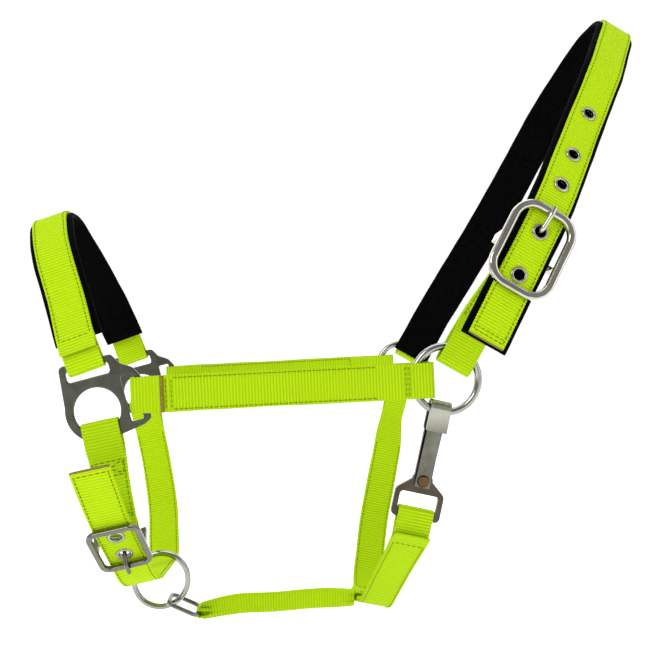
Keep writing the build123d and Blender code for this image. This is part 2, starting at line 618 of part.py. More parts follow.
# wire frame: outer loop in front of the strap, centre bar behind it
CF_W, CF_H, CF_R, CF_WIRE = 34.5, 40.0, 7.0, 3.6
CF_LIFT = STRAP_T / 2 + 1.0 + CF_WIRE / 2
CB_R = 1.7
CB_DEPTH = STRAP_T / 2 + 0.9 + WEB_T + 0.3 + CB_R
with BuildPart() as chin_buckle_frame:
    with BuildSketch(chin_buckle_plane.offset(CF_LIFT - CF_WIRE / 2)):
        RectangleRounded(CF_W, CF_H, CF_R)
        RectangleRounded(CF_W - 2 * CF_WIRE, CF_H - 2 * CF_WIRE, CF_R - CF_WIRE, mode=Mode.SUBTRACT)
    extrude(amount=CF_WIRE)
    ax = Axis(chin_buckle_plane.origin, chin_buckle_plane.z_dir)
    fillet(chin_buckle_frame.faces().sort_by(ax)[-1].edges()
           + chin_buckle_frame.faces().sort_by(ax)[0].edges(), radius=1.2)
    with BuildSketch(chin_buckle_plane.offset(-CB_DEPTH - CB_R)):
        with Locations((-(CF_W / 2 - CF_WIRE / 2), 0), (CF_W / 2 - CF_WIRE / 2, 0)):
            Rectangle(3.2, 3.4)
    extrude(amount=CB_DEPTH + CB_R + CF_LIFT)
    with BuildSketch(Plane(origin=chin_buckle_plane.from_local_coords((-(CF_W / 2 - 0.8), 0, -CB_DEPTH)),
                           x_dir=chin_vec(*CDIR), z_dir=n_chin)):
        Circle(CB_R)
    extrude(amount=CF_W - 1.6)
chin_buckle_frame.part.label = "chin_buckle_frame"
export_step(chin_buckle_frame.part, "parts/chin_buckle_frame.step")

CCB = (CBC[0] - COUT[0] * CB_DEPTH, CBC[1] - COUT[1] * CB_DEPTH)
CT_R = 1.4
ct_plane = Plane(origin=chin_buckle_plane.origin, x_dir=chin_vec(*CDIR),
                 z_dir=(-n_chin[0], 0, -n_chin[2]))
cz = 1.0 if ct_plane.y_dir.dot(chin_buckle_plane.z_dir) > 0 else -1.0
CTON = [(0.8, -CB_DEPTH - 0.2), (7.6, -CB_DEPTH + 0.2), (10.6, STRAP_T / 2 + 1.6),
        (14.6, CF_LIFT + CF_WIRE / 2 + 0.3 + CT_R), (21.2, CF_LIFT + CF_WIRE / 2 + 0.3 + CT_R)]
with BuildPart() as chin_buckle_tongue:
    with BuildLine(ct_plane) as ct_path:
        FilletPolyline(*[(a, cz * b) for a, b in CTON], radius=[2.0, 2.2, 2.2])
    with BuildSketch(Plane(origin=ct_path.line @ 0, z_dir=ct_path.line % 0)):
        Circle(CT_R)
    sweep()
    with BuildSketch(ct_plane):
        with Locations((0, -cz * CB_DEPTH)):
            Circle(CB_R + 0.06 + 1.2)
    extrude(amount=1.9, both=True)
    with BuildSketch(ct_plane):
        with Locations((0, -cz * CB_DEPTH)):
            Circle(CB_R + 0.06)
    extrude(amount=4, both=True, mode=Mode.SUBTRACT)
chin_buckle_tongue.part.label = "chin_buckle_tongue"
export_step(chin_buckle_tongue.part, "parts/chin_buckle_tongue.step")

# short strap from the near square down to the chin buckle's centre bar
ST_LO = (-SQ_HALF, 33.0)
CS_KNEE = (-82, 56)
cs_dir = unit(CS_KNEE, CCB)
CS_HI = (CCB[0] - cs_dir[0] * 12, CCB[1] - cs_dir[1] * 12)
cbar_loop = webbing_loop(CCB, cs_dir, CB_R + 0.3 + WEB_T / 2, CB_R + 0.3 + WEB_T / 2, 15, 3.0, WEB_T)
with BuildPart() as chin_buckle_strap:
    with BuildSketch(chin_plane):
        with BuildLine():
            FilletPolyline(ST_LO, (-78, 40), CS_KNEE, CS_HI, radius=[14, 20])
        trace(line_width=2 * WEB_T)
        with BuildLine():
            FilletPolyline(*cn_loop[0], radius=cn_loop[1], close=True)
        make_face()
        with BuildLine():
            FilletPolyline(*cn_loop[2], radius=cn_loop[3], close=True)
        make_face(mode=Mode.SUBTRACT)
        with BuildLine():
            FilletPolyline(*cbar_loop[0], radius=[0.3, 2] + cbar_loop[1][2:4] + [2, 0.3], close=True)
        make_face()
        with BuildLine():
            FilletPolyline(*cbar_loop[2], radius=[0.15, 1.5, cbar_loop[3][2], cbar_loop[3][3], 1.5], close=True)
        make_face(mode=Mode.SUBTRACT)
    extrude(amount=WEB_W / 2, both=True)
    with BuildSketch(chin_buckle_plane.offset(-CB_DEPTH - 6)):       # notch for the tongue
        with Locations((0, cy * 2.5)):
            Rectangle(6.4, 18)
    extrude(amount=CB_DEPTH + 6 - STRAP_T / 2, mode=Mode.SUBTRACT)
chin_buckle_strap.part.label = "chin_buckle_strap"
export_step(chin_buckle_strap.part, "parts/chin_buckle_strap.step")

# chin ring, hanging on the chin strap at the middle
CRQ = 142.5
crx, crz = HX + CRQ * sa, HZ - CRQ * ca
with BuildPart() as chin_ring:
    with BuildSketch(Plane(origin=(crx, 0, crz), x_dir=(1, 0, 0), z_dir=(0, 0, 1))):
        with Locations((CHIN_RING_R, 0)):
            Circle(CHIN_RING_WIRE / 2)
    revolve(axis=Axis((crx, 0, crz), (0, 1, 0)))
chin_ring.part.label = "chin_ring"
export_step(chin_ring.part, "parts/chin_ring.step")

# wire link from the ring's lower back quarter to the connecting strap
LK_WIRE = 3.3
LK_A = radians(-55)
LK_D = radians(-25)
lkx, lkz = crx + CHIN_RING_R * cos(LK_A), crz + CHIN_RING_R * sin(LK_A)
LK_IN = CHIN_RING_WIRE / 2 + 1.4 + LK_WIRE / 2
LK_L, LK_W = 24.0, 20.0                          # wire centre line, long and across
lk_plane = Plane(origin=(lkx, 0, lkz), x_dir=(cos(LK_D), 0, sin(LK_D)),
                 z_dir=(sin(LK_D), 0, -cos(LK_D)))
with BuildPart() as chin_link:
    with BuildLine(lk_plane) as lk_path:
        FilletPolyline((-LK_IN, -LK_W / 2), (-LK_IN, LK_W / 2), (LK_L - LK_IN, LK_W / 2),
                       (LK_L - LK_IN, -LK_W / 2), radius=4.5, close=True)
    with BuildSketch(Plane(origin=lk_path.line @ 0, z_dir=lk_path.line % 0)):
        Circle(LK_WIRE / 2)
    sweep()
chin_link.part.label = "chin_link"
export_step(chin_link.part, "parts/chin_link.step")

# connecting strap: folded webbing from the link to the throat strap
ex, ez = lkx + (LK_L - LK_IN) * cos(LK_D), lkz + (LK_L - LK_IN) * sin(LK_D)
TQ = 184.5 - 0.7
tbx, tbz = RX + TQ * tax, RZ + TQ * taz          # bottom of the throat strap
TBY = 8.0
sleeve_in_w, sleeve_in_t = WEB_W + 1.2, 2 * WEB_T + 1.6
slx = tbx - (WEB_W / 2 + 0.6 + WEB_T) * cos(radians(THROAT_LEAN))
slz = tbz + (WEB_W / 2 + 0.6 + WEB_T) * sin(radians(THROAT_LEAN))
CON = [(ex + 8, ez + 0.5), (ex + 36, ez + 0.5 + 0.30 * (slz - ez) + 2.5), (slx + 1, slz)]
with BuildPart() as chin_connector:
    with BuildSketch(Plane(origin=(0, 2.0, 0), x_dir=(1, 0, 0), z_dir=(0, -1, 0))):
        with BuildLine():
            FilletPolyline(*CON, radius=[120])
        trace(line_width=15.0)
    extrude(amount=4.0)
    with BuildSketch(Plane(origin=(ex, 6.5, ez), x_dir=(1, 0, 0), z_dir=(0, -1, 0))):
        with Locations((3.2, 0)):
            RectangleRounded(15.0, 8.0, 3.4)
        Circle(LK_WIRE / 2 + 0.4, mode=Mode.SUBTRACT)
    extrude(amount=13.0)
    with BuildSketch(Plane(origin=(tbx, TBY + 8, tbz), x_dir=(-taz, 0, tax), z_dir=(0, -1, 0))):
        RectangleRounded(sleeve_in_w + 2 * WEB_T, sleeve_in_t + 2 * WEB_T, 2.6)
    extrude(amount=16)
    with BuildSketch(Plane(origin=(tbx, TBY + 12, tbz), x_dir=(-taz, 0, tax), z_dir=(0, -1, 0))):
        RectangleRounded(sleeve_in_w, sleeve_in_t, 1.0)
    extrude(amount=24, mode=Mode.SUBTRACT)
chin_connector.part.label = "chin_connector"
export_step(chin_connector.part, "parts/chin_connector.step")
print("ring axis", RX, RZ, "hole", HX, HZ, "chin ring", crx, crz, "link", lkx, lkz, ex, ez)
print("crown centre bar", tuple(crown_point(*CB)), "axis", n_crown)
print("chin centre bar", tuple(chin_point(*CCB)), "axis", n_chin)
print("leaf pivot", LEAF_PIV[0], RX + LEAF_PIV[1] * tax, RZ + LEAF_PIV[1] * taz, "axis", (-taz, 0, tax))
print("buckle out", tuple(crown_vec(*BOUT)), "dir", tuple(crown_vec(*BDIR)),
      "chin out", tuple(chin_vec(*COUT)), "dir", tuple(chin_vec(*CDIR)))
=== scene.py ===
"""Looks for the horse headcollar: ribbed webbing, neoprene linings, stitching,
eyelets, rings and the materials of the carried-over metal parts."""
import math

import bpy
import numpy as np
from math import cos, sin, radians, hypot, pi
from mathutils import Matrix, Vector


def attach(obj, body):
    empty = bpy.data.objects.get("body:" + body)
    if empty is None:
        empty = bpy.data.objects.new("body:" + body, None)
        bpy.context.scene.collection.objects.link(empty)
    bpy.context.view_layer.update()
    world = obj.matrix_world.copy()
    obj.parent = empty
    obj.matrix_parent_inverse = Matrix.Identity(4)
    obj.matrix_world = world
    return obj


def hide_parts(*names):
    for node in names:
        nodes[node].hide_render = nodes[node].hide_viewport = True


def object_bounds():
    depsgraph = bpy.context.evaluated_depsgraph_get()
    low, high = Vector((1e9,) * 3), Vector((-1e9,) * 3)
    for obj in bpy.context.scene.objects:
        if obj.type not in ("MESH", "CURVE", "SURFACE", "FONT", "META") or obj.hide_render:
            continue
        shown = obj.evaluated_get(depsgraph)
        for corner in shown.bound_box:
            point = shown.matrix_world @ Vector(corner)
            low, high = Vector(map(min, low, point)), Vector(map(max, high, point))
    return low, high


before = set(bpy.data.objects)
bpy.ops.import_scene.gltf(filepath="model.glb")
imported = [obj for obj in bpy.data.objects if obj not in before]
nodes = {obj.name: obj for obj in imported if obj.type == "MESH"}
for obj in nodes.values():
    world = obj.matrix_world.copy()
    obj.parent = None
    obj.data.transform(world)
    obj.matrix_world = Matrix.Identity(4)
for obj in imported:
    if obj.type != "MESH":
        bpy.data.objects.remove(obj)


def plain(b):
    """A box as plain lists of numbers."""
    return [[float(c) for c in v] for v in b]


cad_box = plain(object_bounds())

MM = 0.001
WEB_W = 25.4
RING_HALF, RING_R, RING_WIRE = 82.0, 22.5, 2.5
CROWN_LEAN, CROWN_H = 29.3, 312.0
cl, sl = cos(radians(CROWN_LEAN)), sin(radians(CROWN_LEAN))
RX, RZ = -CROWN_H * sl, -CROWN_H * cl
SQ_HALF = 76.0
ct, st = cos(radians(15.0)), sin(radians(15.0))
HX, HZ = RX - 233.5, RZ - 20.3

# ------------------------------------------------------------------ materials


class Tree:
    """Small helper for building a node material."""

    def __init__(self, name):
        self.mat = bpy.data.materials.new(name)
        self.mat.use_nodes = True
        self.t = self.mat.node_tree
        self.bsdf = self.t.nodes["Principled BSDF"]

    def node(self, kind, **inputs):
        n = self.t.nodes.new(kind)
        for k, v in inputs.items():
            setattr(n, k, v)
        return n

    def link(self, a, b):
        self.t.links.new(a, b)

    def math(self, op, a, b=None, c=None):
        n = self.node("ShaderNodeMath", operation=op)
        for i, v in enumerate((a, b, c)):
            if v is None:
                continue
            if isinstance(v, (int, float)):
                n.inputs[i].default_value = v
            else:
                self.link(v, n.inputs[i])
        return n.outputs[0]

    def mix(self, fac, a, b, blend="MIX"):
        n = self.node("ShaderNodeMix", data_type="RGBA", blend_type=blend)
        for sock, v in ((n.inputs[0], fac), (n.inputs[6], a), (n.inputs[7], b)):
            if isinstance(v, (int, float)):
                sock.default_value = v
            elif isinstance(v, tuple):
                sock.default_value = (*v, 1.0)
            else:
                self.link(v, sock)
        return n.outputs[2]

    def noise(self, scale, detail=3.0, rough=0.55, vec=None):
        n = self.node("ShaderNodeTexNoise")
        n.inputs["Scale"].default_value = scale
        n.inputs["Detail"].default_value = detail
        n.inputs["Roughness"].default_value = rough
        if vec is None:
            tc = self.node("ShaderNodeTexCoord")
            vec = tc.outputs["Object"]
        self.link(vec, n.inputs["Vector"])
        return n.outputs["Fac"]

    def bump(self, height, strength, distance):
        n = self.node("ShaderNodeBump")
        n.inputs["Strength"].default_value = strength
        n.inputs["Distance"].default_value = distance
        self.link(height, n.inputs["Height"])
        self.link(n.outputs["Normal"], self.bsdf.inputs["Normal"])

    def ramp(self, fac, lo, hi, low, high):
        n = self.node("ShaderNodeMapRange")
        n.inputs["From Min"].default_value = lo
        n.inputs["From Max"].default_value = hi
        n.inputs["To Min"].default_value = low
        n.inputs["To Max"].default_value = high
        self.link(fac, n.inputs["Value"])
        return n.outputs["Result"]


def webbing_material(name, peak, groove, tint, edge, rough=0.66):
    m = Tree(name)
    uv = m.node("ShaderNodeUVMap", uv_map="strap")
    sep = m.node("ShaderNodeSeparateXYZ")
    m.link(uv.outputs["UV"], sep.inputs[0])
    along = m.math("MULTIPLY", sep.outputs[0], 1000.0)
    across = m.math("MULTIPLY", sep.outputs[1], 1000.0)
    wob = m.noise(95.0, 2.0)
    # ribs across the strap, each made of short yarn floats
    rib = m.math("SINE", m.math("MULTIPLY", m.math("ADD", along, m.math("MULTIPLY", wob, 0.35)), 2 * pi / 2.1))
    floats = m.math("SINE", m.math("MULTIPLY", m.math("ADD", across, m.math("MULTIPLY", rib, 0.12)), 2 * pi / 0.95))
    yarn = m.math("SINE", m.math("MULTIPLY", m.math("ADD", across, m.math("MULTIPLY", along, 0.6)), 2 * pi / 0.32))
    h = m.math("ADD", m.math("MULTIPLY", rib, 0.60), m.math("MULTIPLY", floats, 0.30))
    h = m.math("ADD", h, m.math("MULTIPLY", yarn, 0.12))
    fuzz = m.noise(2600.0, 4.0, 0.7)
    h = m.math("ADD", h, m.math("MULTIPLY", fuzz, 0.5))
    # painted shade: the base colour runs from the peak colour down to the darker groove colour where the rib height h
    # is low, darkening the rib grooves
    f = m.ramp(h, -0.75, 1.05, 0.0, 1.0)
    col = m.mix(f, groove, peak)
    patch = m.ramp(m.noise(26.0, 3.0), 0.38, 0.68, 0.0, 0.55)
    col = m.mix(patch, col, tint)
    # selvedges are handled most, so they are a little duller
    side = m.ramp(m.math("ABSOLUTE", across), 11.4, 13.1, 0.0, 0.5)
    col = m.mix(side, col, edge)
    m.link(col, m.bsdf.inputs["Base Color"])
    m.link(m.ramp(h, -0.8, 1.0, rough + 0.14, rough - 0.06), m.bsdf.inputs["Roughness"])
    m.bsdf.inputs["Sheen Weight"].default_value = 0.10
    m.bsdf.inputs["Sheen Roughness"].default_value = 0.4
    m.bsdf.inputs["Sheen Tint"].default_value = (0.85, 1.0, 0.05, 1.0)
    m.bsdf.inputs["Specular IOR Level"].default_value = 0.07
    m.bump(h, 0.55, 0.00016)
    return m.mat


def thread_material(name, lo, hi):
    m = Tree(name)
    tw = m.node("ShaderNodeTexWave")
    tw.inputs["Scale"].default_value = 900.0
    tw.inputs["Distortion"].default_value = 1.0
    tc = m.node("ShaderNodeTexCoord")
    m.link(tc.outputs["Object"], tw.inputs["Vector"])
    n = m.noise(1500.0, 2.0)
    f = m.math("ADD", m.math("MULTIPLY", tw.outputs["Fac"], 0.6), m.math("MULTIPLY", n, 0.4))
    m.link(m.mix(f, lo, hi), m.bsdf.inputs["Base Color"])
    m.bsdf.inputs["Roughness"].default_value = 0.6
    m.bsdf.inputs["Specular IOR Level"].default_value = 0.06
    m.bump(f, 0.5, 0.00008)
    return m.mat


def melt_material(name):
    """Heat-cut webbing end: browned, and made darker still as painted shadow along the cut; glossy in places."""
    m = Tree(name)
    n = m.noise(900.0, 4.0, 0.65)
    f = m.ramp(n, 0.35, 0.65, 0.0, 1.0)
    # the brown of the heat-cut end, darkened further as painted shadow along the cut
    m.link(m.mix(f, (0.095, 0.058, 0.002), (0.27, 0.21, 0.004)), m.bsdf.inputs["Base Color"])
    m.link(m.ramp(n, 0.3, 0.7, 0.35, 0.7), m.bsdf.inputs["Roughness"])
    m.bump(n, 0.6, 0.0002)
    return m.mat


def neoprene_material(name):
    m = Tree(name)
    v = m.node("ShaderNodeTexVoronoi")
    v.inputs["Scale"].default_value = 1300.0
    tc = m.node("ShaderNodeTexCoord")
    m.link(tc.outputs["Object"], v.inputs["Vector"])
    n = m.noise(220.0, 3.0)
    h = m.math("ADD", m.math("MULTIPLY", v.outputs["Distance"], 0.7), m.math("MULTIPLY", n, 0.6))
    f = m.ramp(n, 0.35, 0.7, 0.0, 1.0)
    m.link(m.mix(f, (0.0004, 0.0004, 0.0005), (0.0018, 0.0018, 0.0020)), m.bsdf.inputs["Base Color"])
    m.link(m.ramp(n, 0.3, 0.7, 0.62, 0.82), m.bsdf.inputs["Roughness"])
    m.bsdf.inputs["Specular IOR Level"].default_value = 0.02
    m.bump(h, 0.35, 0.0002)
    return m.mat


def metal_material(name, lo, hi, r0, r1, scale=60.0, scratch=0.25, bump=0.0, painted_highlight=None):
    """Plated metal: cloudy finish and fine scratches; optionally a painted highlight, a brighter base colour over one
    region.
    """
    m = Tree(name)
    cloud = m.noise(scale, 4.0, 0.6)
    tc = m.node("ShaderNodeTexCoord")
    mp = m.node("ShaderNodeMapping")
    mp.inputs["Scale"].default_value = (1.0, 1.0, 9.0)
    mp.inputs["Rotation"].default_value = (0.4, 0.7, 0.2)
    m.link(tc.outputs["Object"], mp.inputs["Vector"])
    hair = m.noise(700.0, 3.0, 0.6, mp.outputs["Vector"])
    f = m.ramp(cloud, 0.32, 0.68, 0.0, 1.0)
    m.link(m.mix(f, lo, hi), m.bsdf.inputs["Base Color"])
    r = m.math("ADD", m.ramp(cloud, 0.3, 0.7, r0, r1), m.ramp(hair, 0.45, 0.75, 0.0, scratch * 0.4))
    m.link(r, m.bsdf.inputs["Roughness"])
    m.bsdf.inputs["Metallic"].default_value = 1.0
    if bump:
        m.bump(m.math("ADD", hair, cloud), 0.25, bump)
    if painted_highlight:                         # painted highlight: base colour mixed towards a bright colour beyond this outward position, stronger higher up
        sep = m.node("ShaderNodeSeparateXYZ")
        m.link(tc.outputs["Object"], sep.inputs[0])
        k = m.ramp(sep.outputs[1], painted_highlight[0], painted_highlight[1], 0.0, 1.0)
        fall = m.ramp(sep.outputs[2], painted_highlight[2], painted_highlight[3], 0.25, 1.0)
        m.link(m.mix(m.math("MULTIPLY", k, fall), m.bsdf.inputs["Base Color"].links[0].from_socket, painted_highlight[4]), m.bsdf.inputs["Base Color"])
    return m.mat


PEAK = (0.500, 0.735, 0.0045)
# painted shade: the groove colour below, and the second colour given to webbing_lime_deep, darken the rib grooves
GROOVE_SHADE = (0.255, 0.415, 0.0015)
web_a = webbing_material("webbing_lime", PEAK, GROOVE_SHADE, (0.40, 0.62, 0.002), (0.36, 0.50, 0.004))
web_b = webbing_material("webbing_lime_deep", (0.46, 0.69, 0.004), (0.22, 0.37, 0.0015), (0.36, 0.56, 0.002), (0.32, 0.46, 0.004), 0.70)
thread = thread_material("thread_lime", (0.085, 0.135, 0.0008), (0.20, 0.31, 0.0015))
thread_dark = thread_material("thread_black", (0.0005, 0.0005, 0.0005), (0.003, 0.003, 0.003))
melt = melt_material("webbing_heat_cut_and_shadow")
neoprene = neoprene_material("neoprene_black")
nickel = metal_material("nickel_ring", (0.27, 0.262, 0.242), (0.37, 0.36, 0.335), 0.12, 0.20, 45.0, 0.18, 0.00002)
nickel_eye = metal_material("nickel_eyelet", (0.30, 0.285, 0.25), (0.44, 0.42, 0.38), 0.16, 0.28, 120.0, 0.3)
nickel_frame = metal_material("nickel_frame", (0.40, 0.38, 0.345), (0.54, 0.52, 0.475), 0.07, 0.15, 50.0, 0.16)
dark_frame = metal_material("nickel_dark", (0.125, 0.12, 0.10), (0.20, 0.19, 0.165), 0.16, 0.28, 60.0, 0.3)
square_metal = metal_material("square_matte", (0.070, 0.071, 0.056), (0.098, 0.100, 0.080), 0.34, 0.46, 150.0, 0.3, 0.00002)
# the snap's outer tab gets a painted highlight: brighter base colour over the given Y and Z range
gun = metal_material("gunmetal", (0.050, 0.040, 0.030), (0.088, 0.075, 0.058), 0.20, 0.36, 80.0, 0.35, 0.00002,
                     (-0.0835, -0.0850, -0.3100, -0.2960, (0.46, 0.46, 0.38)))
leaf_metal = metal_material("leaf_steel", (0.085, 0.087, 0.066), (0.16, 0.162, 0.13), 0.16, 0.30, 80.0, 0.35)
bronze = metal_material("rivet_bronze", (0.085, 0.048, 0.022), (0.16, 0.090, 0.045), 0.24, 0.38, 150.0, 0.3)

# ------------------------------------------------------------ path geometry


def unit(a, b):
    ln = hypot(b[0] - a[0], b[1] - a[1])
    return ((b[0] - a[0]) / ln, (b[1] - a[1]) / ln)


def offset_path(pts, radii, d):
    """Corner points and radii moved d to the left of the direction of travel."""
    segs = []
    for (x0, y0), (x1, y1) in zip(pts, pts[1:]):
        ln = hypot(x1 - x0, y1 - y0)
        ux, uy = (x1 - x0) / ln, (y1 - y0) / ln
        segs.append((x0 - uy * d, y0 + ux * d, ux, uy, ln))
    out, rad = [(segs[0][0], segs[0][1])], []
    for k in range(1, len(segs)):
        x0, y0, ux, uy, _ = segs[k - 1]
        x1, y1, vx, vy, _ = segs[k]
        cr = ux * vy - uy * vx
        if abs(cr) < 1e-6:
            out.append((x1, y1))
            rad.append(radii[k - 1])
            continue
        t = ((x1 - x0) * vy - (y1 - y0) * vx) / cr
        out.append((x0 + ux * t, y0 + uy * t))
        rad.append(max(0.3, radii[k - 1] - d if cr > 0 else radii[k - 1] + d))
    x0, y0, ux, uy, ln = segs[-1]
    out.append((x0 + ux * ln, y0 + uy * ln))
    return out, rad


def rounded(pts, radii, step):
    """Corner points and radii to evenly spaced points."""
    pts = [np.array(p, float) for p in pts]
    dense = [pts[0]]
    for k in range(1, len(pts) - 1):
        a, p, b = pts[k - 1], pts[k], pts[k + 1]
        u, v = a - p, b - p
        lu, lv = np.linalg.norm(u), np.linalg.norm(v)
        if lu < 1e-6 or lv < 1e-6:
            continue
        u, v = u / lu, v / lv
        c = float(np.clip(u @ v, -1, 1))
        ang = math.acos(c)
        if pi - ang < 1e-4:
            dense.append(p)
            continue
        reach = radii[k - 1] / math.tan(ang / 2)
        limit = 0.5 * min(lu, lv) if 0 < k < len(pts) - 1 else reach
        if k == 1:
            limit = max(limit, min(lu * 0.98, 0.5 * lv))
        if k == len(pts) - 2:
            limit = max(limit, min(lv * 0.98, 0.5 * lu))
        reach = min(reach, limit)
        r = reach * math.tan(ang / 2)
        p0, p1 = p + u * reach, p + v * reach
        mid = (u + v) / np.linalg.norm(u + v)
        cen = p + mid * math.hypot(r, reach)
        a0 = math.atan2(*(p0 - cen)[::-1])
        a1 = math.atan2(*(p1 - cen)[::-1])
        da = (a1 - a0 + pi) % (2 * pi) - pi
        n = max(3, int(abs(da) * r / (step * 0.25)) + 1)
        for q in np.linspace(0, 1, n):
            dense.append(cen + r * np.array((math.cos(a0 + da * q), math.sin(a0 + da * q))))
    dense.append(pts[-1])
    dense = np.array(dense)
    keep = np.r_[True, np.linalg.norm(np.diff(dense, axis=0), axis=1) > 1e-7]
    dense = dense[keep]
    s = np.r_[0, np.cumsum(np.linalg.norm(np.diff(dense, axis=0), axis=1))]
    n = max(2, int(round(s[-1] / step)) + 1)
    q = np.linspace(0, s[-1], n)
    return np.c_[np.interp(q, s, dense[:, 0]), np.interp(q, s, dense[:, 1])], q


def loop(c, d, half, fold, back, shoulder, off, tail=None):
    """Corner points of webbing folded round a bar, + side first."""
    ln = hypot(*d)
    dx, dy = d[0] / ln, d[1] / ln
    nx, ny = -dy, dx
    P = lambda a, b: (c[0] + dx * a + nx * b, c[1] + dy * a + ny * b)
    pts = [P(-back, off), P(-shoulder, half), P(fold, half), P(fold, -half), P(-shoulder, -half), P(-back, -off)]
    if tail:                             # the cut end lies on top of the strap
        pts[-1] = P(-tail[0], -tail[1])
        pts[-2] = P(-min(shoulder, tail[0] - 4.0), -half)
    return pts, [9, 7, half - 0.05, half - 0.05, 5 if tail else 7, 9]


def strap_path(pts, rad, off, a, b, butt=0.0):
    """One length of webbing, doubled: outer layer, loop b, inner layer, loop a."""
    outer, orad = offset_path(pts, rad, off)
    inner, irad = offset_path(pts, rad, -off)
    P, R = list(outer), list(orad)
    if a:                                # the outer layer starts at the butt
        u = unit(outer[0], outer[1])
        P[0] = (outer[0][0] + u[0] * butt, outer[0][1] + u[1] * butt)
    if b:
        bp, br = b
        P = P[:-1] + bp
        R = R + br[1:-1] if len(P) < 1 else R[:len(outer) - 2] + [br[0]] + br[1:-1] + [br[-1]]
        rest = inner[::-1][1:]
    else:
        R = R + [0.5, 0.5]
        P = P + [inner[-1]]
        R = R[:len(P) - 2]
        rest = inner[::-1][1:]
        raise ValueError("a strap needs a loop at its second end")
    ri = irad[::-1]
    if a:
        ap, ar = a
        P = P + rest[:-1] + ap
        R = R + ri + [ar[0]] + ar[1:-1] + [ar[-1]]
        if butt > 0:
            u = unit(outer[0], outer[1])
            P = P + [(outer[0][0] + u[0] * (butt - 0.02), outer[0][1] + u[1] * (butt - 0.02))]
    else:
        P = P + rest
        R = R + ri
    return P, R[:len(P) - 2]


class Flat:
    """A plane that holds a strap's centre line; N is the width axis."""

    def __init__(self, o, a, b):
        self.o, self.a, self.b = (np.array(v, float) for v in (o, a, b))
        self.n = np.cross(self.a, self.b)

    def p(self, xy):
        xy = np.atleast_2d(xy)
        return self.o + xy[:, :1] * self.a + xy[:, 1:2] * self.b

    def v(self, xy):
        xy = np.atleast_2d(xy)
        return xy[:, :1] * self.a + xy[:, 1:2] * self.b


def normals2(path):
    t = np.gradient(path, axis=0)
    t /= np.linalg.norm(t, axis=1)[:, None]
    return t, np.c_[-t[:, 1], t[:, 0]]


def mesh_object(name, verts, faces, mats, mat_index=None, uv=None, smooth=True):
    me = bpy.data.meshes.new(name)
    me.from_pydata([tuple(v) for v in (np.asarray(verts) * MM).tolist()], [], faces)
    for m in mats:
        me.materials.append(m)
    if mat_index is not None:
        me.polygons.foreach_set("material_index", np.asarray(mat_index, np.int32))
    if smooth:
        me.polygons.foreach_set("use_smooth", np.ones(len(me.polygons), bool))
    if uv is not None:
        layer = me.uv_layers.new(name="strap")
        idx = np.zeros(len(me.loops), np.int32)
        me.loops.foreach_get("vertex_index", idx)
        layer.data.foreach_set("uv", (np.asarray(uv, np.float32)[idx] * MM).ravel())
    me.update()
    ob = bpy.data.objects.new(name, me)
    bpy.context.scene.collection.objects.link(ob)
    return ob


def loft(name, P, W, H, prof, along, mats, cap_mat=0, melt_len=(0.0, 0.0), holes=(), open_=True):
    """Sections prof (n, m, 2) set at P with axes W and H, closed at both ends."""
    n, m = prof.shape[:2]
    V = P[:, None, :] + prof[..., :1] * W[:, None, :] + prof[..., 1:2] * H[:, None, :]
    T = np.gradient(P, axis=0)
    flip = float(np.mean(np.einsum("ij,ij->i", np.cross(W, H), T))) < 0
    i, j = np.meshgrid(np.arange(n - 1), np.arange(m), indexing="ij")
    a = i * m + j
    b = i * m + (j + 1) % m
    c = (i + 1) * m + (j + 1) % m
    d = (i + 1) * m + j
    Q = np.stack([a, b, c, d], -1).reshape(-1, 4)
    V = V.reshape(-1, 3)
    uv = np.stack([np.repeat(along, m), prof[..., 0].ravel()], -1)
    mid = np.repeat((along[:-1] + along[1:]) / 2, m)
    mi = np.zeros(len(Q), int)
    # faces near the ends take the heat-cut material, whose dark brown also paints the shadow along the cut
    if melt_len[0]:
        mi[mid < along[0] + melt_len[0]] = 1
    if melt_len[1]:
        mi[mid > along[-1] - melt_len[1]] = 1
    for centre, axis, bore, reach, depth in holes:
        centre, axis = np.array(centre, float), np.array(axis, float)
        rel = V - centre
        hgt = rel @ axis
        flat = rel - hgt[:, None] * axis
        r = np.linalg.norm(flat, axis=1)
        near = np.abs(hgt) < depth
        fc = r[Q].mean(1)
        drop = near[Q].all(1) & (fc < 1.7)
        Q, mi = Q[~drop], mi[~drop]
        sel = near & (r < reach) & (r > 1e-6)
        newr = bore + r[sel] * (reach - bore) / reach
        V[sel] = centre + hgt[sel, None] * axis + flat[sel] / r[sel, None] * newr[:, None]
    faces = Q[:, ::-1].tolist() if flip else Q.tolist()
    caps = [list(range(m - 1, -1, -1)), list(range((n - 1) * m, n * m))]
    if flip:
        caps = [c[::-1] for c in caps]
    faces += caps
    mi = np.r_[mi, [1 if melt_len[0] else cap_mat, 1 if melt_len[1] else cap_mat]]
    return mesh_object(name, V, faces, mats, mi, uv)


PROF_WS = (12.35, 11.3, 10.5, 9.7, 7.6, 5.1, 2.55, 0.0)
PROF_FINE = (12.35, 11.3, 10.5, 9.7, 8.4, 7.0, 5.6, 4.2, 2.9, 1.6, 0.5)


